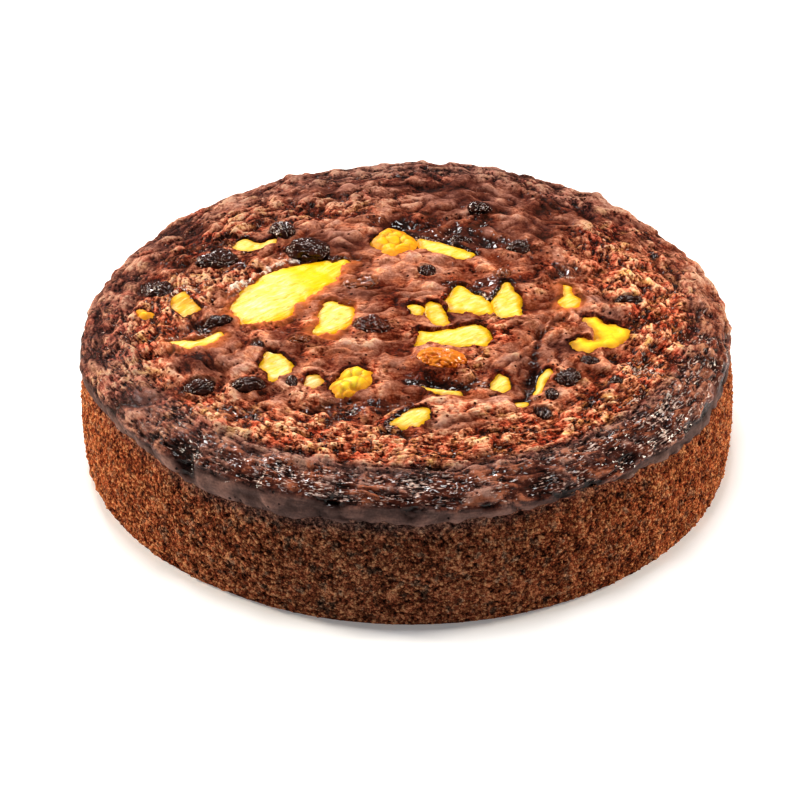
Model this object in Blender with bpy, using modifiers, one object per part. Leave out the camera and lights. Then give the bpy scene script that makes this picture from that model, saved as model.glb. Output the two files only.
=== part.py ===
"""A round dark rum cake from a 24 cm tin, with raisins, pineapple and walnut pieces set in its top.

Blender 4.5, metres, +Z up. The origin is the middle of the flat underside, and -Y is the cake's front.
The cake is a turned profile whose top is then given its swells, hollows and cracks. Each piece of fruit
is a solid of its own, which lies in a pocket cut with a small gap all round it.
"""

import math

import bmesh
import bpy
from mathutils import Matrix, Vector, noise

MM = 0.001

# Driving dimensions of the cake, in millimetres
LIP_RADIUS = 120.0
WALL_RADIUS_UNDER_LIP = 119.2
BELLY_RADIUS = 121.8
BELLY_HEIGHT = 16.0
FOOT_RADIUS = 121.0
FOOT_CHAMFER = 1.2
EDGE_HEIGHT = 52.0
DOME_RISE = 6.0
DOME_POWER = 3.2
DOME_RADIUS = 116.0
SHOULDER_RADIUS = 111.0
SHOULDER_DROP = 7.0
CRUST_FOOT = 41.5
LIP_ROUND = 1.4
LIP_TUCK = 0.7

# Where the rim, the lip, the crust's lower edge and the wall leave their circles:
# direction in degrees anticlockwise from +X, half width in degrees, and how far, in millimetres
RIM_RISES = ((80, 24, 2.8), (146, 14, -1.4), (34, 12, -1.0))
LIP_BULGES = ((192, 14, 2.2), (162, 16, -1.3), (0, 22, -1.3))
CRUST_FOOT_RISES = ((219, 7, 1.8), (233, 8, -2.0), (247, 8, -1.8), (296, 16, 2.6), (330, 9, -3.4),
                    (110, 14, 1.2), (60, 12, -1.4))
WALL_BULGES = ((185, 30, 0.6), (0, 30, -0.4), (238, 14, -0.5))

# How finely the turned profile is faceted
TURN_STEPS = 84
TOP_RINGS = (0, 6, 13, 20, 27, 34, 41, 48, 55, 62, 69, 76, 83, 90, 97, 105)
SHOULDER_RINGS = 4
WALL_RINGS = (31.0, 22.0, 10.0)

# Relief of the top: (x, y, half length, half width, turn in degrees, rise), in millimetres
SWELLS = (
    (-24, 48, 14, 9, 0, 2.6),
    (-4, 8, 20, 20, 0, 1.6),
    (14, -71, 20, 8, -4, 1.8),
    (41, -17, 10, 7, 10, 2.0),
    (-77, -41, 12, 9, 0, 2.0),
    (75, -5, 11, 4.5, 0, 1.8),
    (57, -22, 7, 8, 20, 2.0),
    (38, -38, 9, 6, 15, 2.0),
    (-59, -38, 8, 7, 0, 2.4),
    (72.5, 90.5, 4, 3, 0, 2.2),
    (-56, -80, 22, 7, -20, 1.2),
    (8, 30, 16, 5, -12, 1.4),
    (64, 52, 20, 8, -30, 1.2),
    (-20, 84, 26, 8, 5, 1.2),
    (78, -58, 14, 8, 30, 1.0),
)
HOLLOWS = (
    (19, 52, 19, 7, -24, 3.0),
    (11, -54, 12, 4, -8, 3.2),
    (42, -52, 4, 11, -12, 3.4),
    (-7, -67, 7, 3.5, 40, 2.8),
    (-28, -68, 10, 3, 12, 2.6),
    (-62, -69, 11, 3.5, -22, 2.0),
    (-79, -16, 10, 5, 12, 2.4),
    (-6, 61, 9, 3, -12, 2.6),
    (94, 38, 3, 9, 20, 1.6),
    (25, 9, 6, 4, -40, 1.8),
    (35, 26, 4, 7, 10, 2.2),
    (-56, 24, 12, 4, 35, 1.8),
    (-88, -48, 4, 12, 20, 1.6),
    (54, 70, 12, 5, -35, 1.4),
)
# A crack is a chain of points with its half width and depth
CRACKS = (
    (((37, -36), (42, -30), (47, -23), (50, -13), (58, -10)), 1.6, 2.4),
    (((-34, -24), (-24, -27), (-8, -27), (1, -25)), 1.4, 1.4),
    (((-48, -34), (-58, -28), (-66, -36)), 1.6, 1.6),
    (((20, -62), (4, -62), (-8, -72), (-14, -78)), 1.6, 1.8),
    (((-86, 30), (-72, 44), (-60, 62), (-44, 70)), 1.8, 1.4),
)
WAVE_LENGTH = 19.0
WAVE_RISE = 1.5
WAVE_SLICE = 40.0
PEBBLE_LENGTH = 8.0
PEBBLE_RISE = 1.1
PEBBLE_SLICE = 9.0
PEBBLE_SHARE_IN_MIDDLE = 0.35
PEBBLE_FROM_RADIUS = 50.0
PEBBLE_FULL_RADIUS = 90.0
RELIEF_FADES_FROM_RADIUS = 100.0
RELIEF_FADES_OVER = 16.0
RELIEF_LOST_ON_SHOULDER = 0.75
RIM_FROM_RADIUS = 84.0
RIM_FULL_RADIUS = 108.0

# Unevenness of the side and the lip: how far they wander in and out, and how many times on the way round
WALL_WANDER = 0.45
WALL_WANDER_TURNS = 5.0
LIP_WANDER = 0.7
LIP_WANDER_TURNS = 9.0
CRUMB_ROUGHNESS = 0.35
CRUMB_LENGTH = 7.0
CRUST_FOOT_REACH_UP = 4.0
CRUST_FOOT_REACH_DOWN = 9.0

# Fit of the pieces in their pockets, in millimetres
POCKET_GAP = 0.45
SLAB_THICKNESS = 5.0
SLAB_TOP_BELOW_CRUST = 0.2
SLAB_EDGE_ROUND = 0.7
POCKET_HEADROOM = 9.0

# A piece follows the slope of the crust over this share of its length, and over no less than the last
SLAB_SLOPE_SHARE = 0.25
RAISIN_SLOPE_SHARE = 0.35
LEAST_SLOPE_SPAN = 2.5

# Flat pieces of fruit and nut: outline on the cake's top, anticlockwise or clockwise, in millimetres
PINEAPPLE = {
    "pineapple_01": ((-65.5, -4), (-63.5, 6.5), (-59, 13.5), (-50.5, 24.5), (-42, 28.5), (-32, 30), (-23, 28.5),
                     (-25.5, 22), (-28, 15), (-33, 8.5), (-39.5, 1), (-43.5, -7), (-49, -12), (-59.5, -13.5)),
    "pineapple_02": ((-34, -23), (-32.5, -7), (-30.5, -2.5), (-27.5, -2), (-21.5, -5), (-20.5, -11),
                     (-23, -17.5), (-28.5, -22.5)),
    "pineapple_03": ((-87.5, 3), (-84.5, 8), (-82, 4.5), (-80, 0.5), (-77, -2.5), (-78.5, -4.5),
                     (-82.5, -7.5), (-86.5, -3)),
    "pineapple_04": ((-68, 45), (-66, 50), (-63, 51), (-60, 47.5), (-56, 46), (-53.5, 48), (-50.5, 48),
                     (-51, 45), (-56, 42), (-60.5, 41), (-66, 42)),
    "pineapple_05": ((-87.5, -23.5), (-86, -21.5), (-82, -24), (-78, -25), (-74, -22.5), (-69.5, -18.5),
                     (-67.5, -20), (-70, -24.5), (-75, -28), (-79, -30), (-83.5, -27.5)),
    "pineapple_06": ((-52, -44.5), (-51, -39), (-50, -34.5), (-48, -34.5), (-45, -38), (-41.5, -43.5),
                     (-42, -47), (-45, -50), (-48.5, -53), (-50, -49)),
    "pineapple_07": ((-37, -56), (-36, -50.5), (-32.5, -49.5), (-31, -54), (-31.5, -57), (-34, -58.5)),
    "pineapple_08": ((-6.5, -79.5), (-3, -75.5), (0.5, -72), (6, -72.5), (6.5, -77), (2.5, -81.5), (-3, -81)),
    "pineapple_09": ((5, 48), (9, 45), (15, 42.5), (20, 39.5), (24, 35.5), (24, 32), (17.5, 33), (9, 36), (5.5, 40)),
    "pineapple_10": ((0.5, -5.5), (2.5, -4), (5.3, -5.5), (5, -11), (3, -11)),
    "pineapple_11": ((7.5, -4), (9, -2), (11.5, -3), (13, -7.5), (15, -14.5), (13.5, -16.5), (10, -16), (7.5, -11.5)),
    "pineapple_12": ((15, 0.5), (19.5, 10.5), (26, 4), (29.5, -1), (30.5, -6.8), (25, -7), (16, -6)),
    "pineapple_13": ((37, 12), (40.5, 2.5), (41, -11.5), (34, -11), (32.8, -6.5), (32, 0), (34, 5)),
    "pineapple_14": ((3, -30), (4, -21.5), (8, -21), (17, -19), (24.5, -15.5), (27.5, -19.5), (29, -26),
                     (27.5, -30), (18.5, -31), (8, -29)),
    "pineapple_15": ((58, 13), (60, 12), (60.5, 5), (63.5, 0.5), (61.5, -3.5), (58, -4), (56, 1), (58, 5)),
    "pineapple_16": ((29, -54), (31.5, -48.5), (34.5, -51.5), (35, -58), (32, -59.5), (28.5, -57.5)),
    "pineapple_17": ((4.5, -53), (8.5, -54), (13, -57), (19, -60), (18, -62.5), (12, -60.5), (7, -57.5)),
    "pineapple_18": ((43, -61), (44, -55.5), (46, -48.5), (49, -46), (50, -48.5), (47.3, -51.5), (46, -56.5), (45, -61)),
    "pineapple_19": ((36.5, -67.5), (38.5, -65.5), (41.5, -65), (41, -68), (38.5, -69)),
}
WALNUT = {
    "walnut_1": ((-13, 43), (-11, 49.5), (-7.5, 53), (-3, 52), (0.5, 48.5), (3, 42), (2, 38), (-1.5, 36.5),
                 (-5, 33), (-8, 34.5), (-11, 38.5)),
    "walnut_2": ((-27, -58.5), (-25, -53), (-22, -47.5), (-18, -45.5), (-14, -49), (-14, -56), (-17, -59.5),
                 (-21, -62), (-25, -63.5)),
    "walnut_3": ((64.5, -11.5), (69, -10), (71.5, -14), (76, -13.5), (80.5, -17), (79.5, -22.5), (74.5, -28.5),
                 (69, -31), (65, -33.5), (61, -32), (59.5, -28.5), (61.5, -25.5), (64.5, -25.5), (66, -27),
                 (68, -25.5), (68, -20)),
    "walnut_4": ((-100.5, -1), (-98, -2), (-95.5, -4.5), (-96, -7), (-99, -6)),
}
WALNUT_PROUD = 1.2

# Raisins: x, y, length, width, height, turn in degrees, share of the height that lies under the crust
RAISINS = {
    "raisin_01": (-49, 54.5, 12, 8.5, 7, -40, 0.45),
    "raisin_02": (-38.5, 38.5, 16, 10.5, 8, -12, 0.45),
    "raisin_03": (-73.5, 34, 14, 9, 6.5, 18, 0.5),
    "raisin_04": (-94.5, 14.5, 14, 8.5, 6.5, -32, 0.6),
    "raisin_05": (-70, -11.5, 12, 6, 6, 6, 0.6),
    "raisin_06": (-13.5, -19, 14.5, 9.5, 7, -16, 0.5),
    "raisin_07": (7, 20.5, 7.5, 8, 7, 0, 0.65),
    "raisin_08": (28, 72.5, 9, 9.5, 7, 30, 0.55),
    "raisin_09": (42, 40, 9.5, 9, 7, 0, 0.55),
    "raisin_10": (35.5, 20.8, 12, 6.5, 7, 78, 0.6),
    "raisin_11": (81.5, 3.5, 11.5, 5.5, 5.5, 4, 0.6),
    "raisin_12": (65, -39.5, 8, 6, 5.5, -22, 0.55),
    "raisin_13": (56, -51.5, 8.5, 8.5, 7, 0, 0.5),
    "raisin_14": (50, -61.6, 5, 6, 5, 0, 0.5),
    "raisin_15": (-57, -55.5, 12.5, 8, 6.5, 5, 0.55),
    "raisin_16": (-74, -55, 13.5, 9, 6.5, 16, 0.6),
    "raisin_17": (-18, 11, 13.5, 8, 6, 4, 0.72),
    "raisin_18": (-54.5, -30, 5.5, 6.5, 5.5, 0, 0.5),
    "raisin_19": (-39.5, -28, 9, 6, 5, 0, 0.72),
    "raisin_20": (-41.2, -54, 4.5, 6, 5, 10, 0.55),
    "raisin_21": (20, 49.5, 9.5, 7.5, 6, -20, 0.6),
    "raisin_22": (46.5, -71.5, 6.5, 6.5, 5, 0, 0.6),
    "raisin_23": (73.5, -52.5, 5, 5, 4.5, 0, 0.6),
    "golden_raisin_1": (12.3, -39.6, 16, 10, 7, -8, 0.6),
}
RAISIN_WRINKLE = 0.5
RAISIN_WRINKLE_TURNS = 2.4

WELD_DISTANCE = 0.00001
SMOOTH_UP_TO_DEGREES = 40.0

CRUMB_BROWN = (0.105, 0.045, 0.022, 1.0)
PINEAPPLE_YELLOW = (0.86, 0.62, 0.03, 1.0)
WALNUT_GOLD = (0.72, 0.42, 0.05, 1.0)
RAISIN_BLACK = (0.012, 0.008, 0.008, 1.0)
RAISIN_AMBER = (0.46, 0.16, 0.02, 1.0)


def smooth_step(t):
    """0 up to t = 0, 1 from t = 1, and an S-curve between."""
    t = max(0.0, min(1.0, t))
    return t * t * (3.0 - 2.0 * t)


def oval_weight(x, y, oval):
    """A bell that is 1 in the middle of an oval and about 0.1 at one and a half times its half sizes."""
    centre_x, centre_y, half_long, half_wide, turn, _ = oval
    c, s = math.cos(math.radians(turn)), math.sin(math.radians(turn))
    along = ((x - centre_x) * c + (y - centre_y) * s) / half_long
    across = ((y - centre_y) * c - (x - centre_x) * s) / half_wide
    return math.exp(-(along * along + across * across))


def around(x, y, bumps):
    """Sum of bells on the circle, read in the direction of a point."""
    direction = math.degrees(math.atan2(y, x))
    total = 0.0
    for centre, half_width, rise in bumps:
        off = (direction - centre + 180.0) % 360.0 - 180.0
        total += rise * math.exp(-((off / half_width) ** 2))
    return total


def distance_to_chain(x, y, chain):
    """Distance in millimetres from a point to a chain of straight stretches."""
    point = Vector((x, y))
    nearest = math.inf
    for start, end in zip(chain, chain[1:]):
        a, b = Vector(start), Vector(end)
        t = max(0.0, min(1.0, (point - a).dot(b - a) / (b - a).length_squared))
        nearest = min(nearest, (point - a.lerp(b, t)).length)
    return nearest


def relief(x, y):
    """Height in millimetres of the crust's swells, hollows, cracks and pebbles over the plain dome."""
    rise = sum(oval[5] * oval_weight(x, y, oval) for oval in SWELLS)
    rise -= sum(oval[5] * oval_weight(x, y, oval) for oval in HOLLOWS)
    for chain, half_width, depth in CRACKS:
        rise -= depth * math.exp(-((distance_to_chain(x, y, chain) / half_width) ** 2))
    rise += WAVE_RISE * noise.noise(Vector((x, y, WAVE_SLICE)) / WAVE_LENGTH)
    outward = smooth_step((math.hypot(x, y) - PEBBLE_FROM_RADIUS) / (PEBBLE_FULL_RADIUS - PEBBLE_FROM_RADIUS))
    pebbles = PEBBLE_SHARE_IN_MIDDLE + (1.0 - PEBBLE_SHARE_IN_MIDDLE) * outward
    rise += PEBBLE_RISE * pebbles * noise.noise(Vector((x, y, PEBBLE_SLICE)) / PEBBLE_LENGTH)
    return rise


def dome(r):
    """Height in millimetres of the plain top, out to the shoulder."""
    return EDGE_HEIGHT + DOME_RISE * (1.0 - (r / DOME_RADIUS) ** DOME_POWER)


def rim_rise(x, y):
    """How far the rim stands over or under the plain dome, growing from nothing towards the edge."""
    share = smooth_step((math.hypot(x, y) - RIM_FROM_RADIUS) / (RIM_FULL_RADIUS - RIM_FROM_RADIUS))
    return share * around(x, y, RIM_RISES)


def top_height(x, y):
    """Height in millimetres of the crust with its relief, which fades out on the shoulder."""
    r = math.hypot(x, y)
    fade = 1.0 - RELIEF_LOST_ON_SHOULDER * smooth_step((r - RELIEF_FADES_FROM_RADIUS) / RELIEF_FADES_OVER)
    return dome(r) + fade * relief(x, y) + rim_rise(x, y)


def frame_on_top(x, y, turn, span, lift):
    """Matrix of a piece that lies on the crust: it follows the slope over its span and is lifted by lift."""
    slope_x = (top_height(x + span, y) - top_height(x - span, y)) / (2.0 * span)
    slope_y = (top_height(x, y + span) - top_height(x, y - span)) / (2.0 * span)
    up = Vector((-slope_x, -slope_y, 1.0)).normalized()
    level = (top_height(x, y) + top_height(x + span, y) + top_height(x - span, y)
             + top_height(x, y + span) + top_height(x, y - span)) / 5.0
    tilt = Vector((0, 0, 1)).rotation_difference(up).to_matrix().to_4x4()
    place = Matrix.Translation(Vector((x, y, level + lift)) * MM)
    return place @ tilt @ Matrix.Rotation(math.radians(turn), 4, "Z")


def wall_radius(height):
    """Radius of the side, which swells gently from foot to belly and draws in again under the lip."""
    if height < BELLY_HEIGHT:
        end, share = FOOT_RADIUS, 1.0 - height / BELLY_HEIGHT
    else:
        end, share = WALL_RADIUS_UNDER_LIP, (height - BELLY_HEIGHT) / (CRUST_FOOT - BELLY_HEIGHT)
    return BELLY_RADIUS + (end - BELLY_RADIUS) * share * share


def profile_points():
    """Half outline of the cake in millimetres, from the middle of the top down to the middle of the foot."""
    points = [(r, dome(r)) for r in TOP_RINGS]
    shoulder_top = dome(SHOULDER_RADIUS)
    for i in range(SHOULDER_RINGS + 1):
        angle = math.radians(90.0 * i / SHOULDER_RINGS)
        points.append((SHOULDER_RADIUS + (LIP_RADIUS - SHOULDER_RADIUS) * math.sin(angle),
                       shoulder_top - SHOULDER_DROP * (1.0 - math.cos(angle))))
    points.append((LIP_RADIUS - LIP_TUCK / 4.0, CRUST_FOOT + LIP_ROUND))
    points.append((LIP_RADIUS - LIP_TUCK, CRUST_FOOT))
    points.append((WALL_RADIUS_UNDER_LIP, CRUST_FOOT - LIP_ROUND))
    points += [(wall_radius(height), height) for height in WALL_RINGS]
    points.append((FOOT_RADIUS, FOOT_CHAMFER))
    points.append((FOOT_RADIUS - FOOT_CHAMFER, 0.0))
    points.append((0.0, 0.0))
    return points


def material(name, colour, roughness):
    made = bpy.data.materials.new(name)
    made.use_nodes = True
    shader = made.node_tree.nodes["Principled BSDF"]
    shader.inputs["Base Color"].default_value = colour
    shader.inputs["Roughness"].default_value = roughness
    shader.inputs["Metallic"].default_value = 0.0
    return made


def add_object(name, mesh, collection, finish=None):
    made = bpy.data.objects.new(name, mesh)
    collection.objects.link(made)
    if finish:
        mesh.materials.append(finish)
    return made


def baked_mesh(obj):
    """The object's mesh with its modifiers applied. The object itself is removed."""
    bpy.context.view_layer.update()
    graph = bpy.context.evaluated_depsgraph_get()
    mesh = bpy.data.meshes.new_from_object(obj.evaluated_get(graph))
    bpy.data.objects.remove(obj)
    return mesh


def turned_cake(collection):
    """The cake as a plain turned solid: a profile with a Screw modifier."""
    points = profile_points()
    mesh = bpy.data.meshes.new("cake_profile")
    mesh.from_pydata([(r * MM, 0.0, z * MM) for r, z in points], [(i, i + 1) for i in range(len(points) - 1)], [])
    obj = add_object("cake_profile", mesh, collection)
    screw = obj.modifiers.new("turn", "SCREW")
    screw.steps = screw.render_steps = TURN_STEPS
    screw.use_merge_vertices = True
    screw.merge_threshold = WELD_DISTANCE
    return baked_mesh(obj)


def outward_move(x, y, z):
    """How far a point of the lip or the wall moves out from the turned solid."""
    direction = Vector((x, y, 0.0)).normalized()
    move = WALL_WANDER * noise.noise(direction * WALL_WANDER_TURNS)
    if z < CRUST_FOOT:
        return move + around(x, y, WALL_BULGES) + CRUMB_ROUGHNESS * noise.noise(Vector((x, y, z)) / CRUMB_LENGTH)
    return move + around(x, y, LIP_BULGES) + LIP_WANDER * noise.noise(direction * LIP_WANDER_TURNS)


def shape_cake(mesh):
    """Moves the turned solid's points: relief on the top, an uneven lip, and a slightly wavy wall."""
    for vertex in mesh.vertices:
        x, y, z = vertex.co / MM
        r = math.hypot(x, y)
        if z < FOOT_CHAMFER / 2.0:
            continue
        if r > SHOULDER_RADIUS - 1.0:
            grown_by = 1.0 + outward_move(x, y, z) / r
            x *= grown_by
            y *= grown_by
        if z > EDGE_HEIGHT - SHOULDER_DROP:
            on_top = smooth_step((z - EDGE_HEIGHT + SHOULDER_DROP) / SHOULDER_DROP)
            z += on_top * (top_height(x, y) - dome(math.hypot(x, y)))
        else:
            reach = CRUST_FOOT_REACH_UP if z > CRUST_FOOT else CRUST_FOOT_REACH_DOWN
            near_foot_of_crust = max(0.0, 1.0 - abs(z - CRUST_FOOT) / reach)
            z += near_foot_of_crust * around(x, y, CRUST_FOOT_RISES)
        vertex.co = Vector((x, y, z)) * MM


def slab_mesh(outline, top, thickness, frame, round_edge):
    """A flat piece: a filled 2D curve with an extrude, its upper rim rounded, in the piece's own frame."""
    curve = bpy.data.curves.new("slab", "CURVE")
    curve.dimensions = "2D"
    curve.fill_mode = "BOTH"
    curve.extrude = thickness * MM / 2.0
    spline = curve.splines.new("POLY")
    spline.points.add(len(outline) - 1)
    to_piece = frame.inverted()
    for point, (x, y) in zip(spline.points, outline):
        local = to_piece @ (Vector((x, y, frame.translation.z / MM)) * MM)
        point.co = (local.x, local.y, 0.0, 1.0)
    spline.use_cyclic_u = True
    obj = bpy.data.objects.new("slab", curve)
    bpy.context.scene.collection.objects.link(obj)
    mesh = baked_mesh(obj)
    bpy.data.curves.remove(curve)
    work = bmesh.new()
    work.from_mesh(mesh)
    bmesh.ops.remove_doubles(work, verts=work.verts, dist=WELD_DISTANCE)
    bmesh.ops.recalc_face_normals(work, faces=work.faces)
    rim = [edge for edge in work.edges
           if all(v.co.z > 0 for v in edge.verts) and any(abs(f.normal.z) < 0.5 for f in edge.link_faces)]
    if round_edge:
        bmesh.ops.bevel(work, geom=rim, offset=round_edge * MM, segments=1, affect="EDGES", profile=0.5)
    for vertex in work.verts:
        vertex.co.z += (top - thickness / 2.0) * MM
    work.to_mesh(mesh)
    work.free()
    return mesh


def grown(mesh, gap):
    """A copy of the mesh with every point moved out along its normal, so that its faces move by about gap."""
    copy = mesh.copy()
    work = bmesh.new()
    work.from_mesh(copy)
    bmesh.ops.triangulate(work, faces=work.faces)
    work.normal_update()
    moves = [vertex.normal * gap * MM * vertex.calc_shell_factor() for vertex in work.verts]
    for vertex, move in zip(work.verts, moves):
        vertex.co += move
    work.to_mesh(copy)
    work.free()
    return copy


def centre_of(outline):
    return (sum(x for x, _ in outline) / len(outline), sum(y for _, y in outline) / len(outline))


def span_of(outline):
    """The span over which a flat piece follows the slope of the crust, from its outline's longer side."""
    xs, ys = [x for x, _ in outline], [y for _, y in outline]
    return max(LEAST_SLOPE_SPAN, SLAB_SLOPE_SHARE * max(max(xs) - min(xs), max(ys) - min(ys)))


def add_slab(name, outline, top, pieces, cutters, finish):
    """A flat piece, and the cutter of its pocket, which runs up clear of the crust."""
    frame = frame_on_top(*centre_of(outline), 0.0, span_of(outline), 0.0)
    mesh = slab_mesh(outline, top, SLAB_THICKNESS, frame, SLAB_EDGE_ROUND)
    piece = add_object(name, mesh, pieces, finish)
    piece.matrix_world = frame
    plain = slab_mesh(outline, top, SLAB_THICKNESS, frame, 0.0)
    cutter_mesh = grown(plain, POCKET_GAP)
    middle = (top - SLAB_THICKNESS / 2.0) * MM
    for vertex in cutter_mesh.vertices:
        if vertex.co.z > middle:
            vertex.co.z += POCKET_HEADROOM * MM
    cutter = add_object(name + "_pocket", cutter_mesh, cutters)
    cutter.matrix_world = frame
    return piece


def raisin_mesh(length, width, height, seed):
    """A wrinkled oval: a coarse ball stretched to size, its points moved in and out by turns."""
    work = bmesh.new()
    bmesh.ops.create_icosphere(work, subdivisions=2, radius=1.0)
    for vertex in work.verts:
        direction = vertex.co.normalized()
        wrinkle = noise.noise(direction * RAISIN_WRINKLE_TURNS + Vector((seed * 3.7, 0.0, 0.0)))
        size = Vector((length, width, height)) * 0.5
        swell = 1.0 + RAISIN_WRINKLE * wrinkle / min(size)
        vertex.co = Vector((direction.x * size.x, direction.y * size.y, direction.z * size.z)) * swell * MM
    mesh = bpy.data.meshes.new("raisin")
    work.to_mesh(mesh)
    work.free()
    return mesh


def add_raisin(name, seed, row, pieces, cutters, finish):
    x, y, length, width, height, turn, sunk = row
    frame = frame_on_top(x, y, turn, RAISIN_SLOPE_SHARE * length, (0.5 - sunk) * height)
    mesh = raisin_mesh(length, width, height, seed)
    piece = add_object(name, mesh, pieces, finish)
    piece.matrix_world = frame
    cutter = add_object(name + "_pocket", grown(mesh, POCKET_GAP), cutters)
    cutter.matrix_world = frame
    return piece


def cut_pockets(cake, cutters):
    boolean = cake.modifiers.new("pockets", "BOOLEAN")
    boolean.operation = "DIFFERENCE"
    boolean.operand_type = "COLLECTION"
    boolean.collection = cutters
    boolean.solver = "EXACT"


def shade(objects):
    for obj in objects:
        obj.data.shade_smooth()
        obj.data.set_sharp_from_angle(angle=math.radians(SMOOTH_UP_TO_DEGREES))


def build():
    for old in list(bpy.data.objects):
        bpy.data.objects.remove(old)
    scene = bpy.context.scene
    pieces = bpy.data.collections.new("rum_cake")
    cutters = bpy.data.collections.new("pocket_cutters")
    scene.collection.children.link(pieces)
    scene.collection.children.link(cutters)

    crumb = material("crumb", CRUMB_BROWN, 0.6)
    yellow = material("pineapple", PINEAPPLE_YELLOW, 0.35)
    gold = material("walnut", WALNUT_GOLD, 0.45)
    black = material("raisin", RAISIN_BLACK, 0.3)
    amber = material("golden_raisin", RAISIN_AMBER, 0.35)

    mesh = turned_cake(scene.collection)
    shape_cake(mesh)
    cake = add_object("cake", mesh, pieces, crumb)
    made = [cake]
    for name, outline in PINEAPPLE.items():
        made.append(add_slab(name, outline, -SLAB_TOP_BELOW_CRUST, pieces, cutters, yellow))
    for name, outline in WALNUT.items():
        made.append(add_slab(name, outline, WALNUT_PROUD, pieces, cutters, gold))
    for seed, (name, row) in enumerate(RAISINS.items(), start=1):
        finish = amber if name.startswith("golden") else black
        made.append(add_raisin(name, seed, row, pieces, cutters, finish))
    for cutter in cutters.objects:
        cutter.hide_render = True
        cutter.display_type = "WIRE"
    cut_pockets(cake, cutters)
    shade(made)


build()
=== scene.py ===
"""The looks of a round dark rum cake with fruit and nuts in its browned top.

The numbers are millimetres unless a comment says otherwise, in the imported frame: +Z up, the origin in the
middle of the underside, and -Y the cake's front. The crust and the crumb are built on the same dome, swells
and cracks as the solid cake, with the fine relief added. The fruit takes its places from the frame's nodes.
"""

import math

import bmesh
import bpy
import numpy as np
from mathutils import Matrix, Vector, geometry, noise


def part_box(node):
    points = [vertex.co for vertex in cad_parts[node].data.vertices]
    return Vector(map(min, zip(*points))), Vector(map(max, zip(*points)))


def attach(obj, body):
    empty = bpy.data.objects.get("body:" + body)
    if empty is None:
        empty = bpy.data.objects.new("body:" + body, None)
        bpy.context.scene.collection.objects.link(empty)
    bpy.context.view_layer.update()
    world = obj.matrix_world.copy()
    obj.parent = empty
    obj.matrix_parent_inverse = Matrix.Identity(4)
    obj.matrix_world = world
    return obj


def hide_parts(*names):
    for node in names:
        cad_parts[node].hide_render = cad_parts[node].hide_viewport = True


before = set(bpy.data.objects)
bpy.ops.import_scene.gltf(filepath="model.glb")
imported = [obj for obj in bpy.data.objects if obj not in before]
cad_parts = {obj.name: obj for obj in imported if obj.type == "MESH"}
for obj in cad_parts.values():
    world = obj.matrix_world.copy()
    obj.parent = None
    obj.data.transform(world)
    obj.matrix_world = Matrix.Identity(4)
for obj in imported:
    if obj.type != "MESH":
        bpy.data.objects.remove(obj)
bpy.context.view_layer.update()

MM = 0.001

# Camera, fitted to the outline of the cake: degrees down from level, metres, and the lens in mm
CAMERA_PITCH = 33.0
CAMERA_DISTANCE = 1.0
CAMERA_LENS = 118.9
CAMERA_AIM = (-0.00314, 0.0, 0.0142)

# Lamps in metres and watts: place, size, power and colour. The rest are strengths and colours
WARM = (1.0, 0.9, 0.75)
WHITE = (1.0, 1.0, 1.0)
LAMPS = {"left_softbox": ((-1.05, 0.25, 0.42), 0.28, 16.5, WARM),
         "right_softbox": ((1.05, 0.2, 0.38), 0.28, 12.5, WARM),
         "overhead_softbox": ((0.0, 0.0, 1.0), 0.22, 6.2, WHITE),
         "back_softbox": ((-0.35, 0.9, 0.62), 0.2, 7.5, WHITE)}
LAMP_AIM = (0.0, 0.0, 0.04)
FLOOR_HALF = 3.0
FLOOR_BELOW = 0.0002
FLOOR_GLOW = 0.2
WORLD_GLOW = 0.06
COOL_SKY = (0.86, 0.93, 1.0, 1.0)

# The crust's turned form
LIP_RADIUS = 120.0
EDGE_HEIGHT = 52.0
DOME_RISE = 6.0
DOME_POWER = 3.2
DOME_RADIUS = 116.0
SHOULDER_RADIUS = 111.0
SHOULDER_DROP = 7.0
CRUST_FOOT = 41.5
LIP_ROUND = 1.6
LIP_UNDER_RADIUS = 117.2
CRUST_FOOT_REACH = 4.0
PROFILE_STEP = 0.5

# The side's turned form
WALL_RADIUS_UNDER_LIP = 119.2
BELLY_RADIUS = 121.8
BELLY_HEIGHT = 16.0
FOOT_RADIUS = 121.0
FOOT_CHAMFER = 1.2

# Where the rim, the lip, the crust's lower edge and the wall leave their circles:
# direction in degrees anticlockwise from +X, half width in degrees, and how far
RIM_RISES = ((80, 24, 2.8), (146, 14, -1.4), (34, 12, -1.0))
LIP_BULGES = ((192, 14, 2.2), (162, 16, -1.3), (0, 22, -1.3))
CRUST_FOOT_RISES = ((219, 7, 1.8), (233, 8, -2.0), (247, 8, -1.8), (296, 16, 2.6), (330, 9, -3.4),
                    (110, 14, 1.2), (60, 12, -1.4))
WALL_BULGES = ((185, 30, 0.6), (0, 30, -0.4), (238, 14, -0.5))
LIP_WANDER = 0.7
LIP_WANDER_TURNS = 9.0
WALL_WANDER = 0.2
WALL_WANDER_TURNS = 5.0

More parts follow.
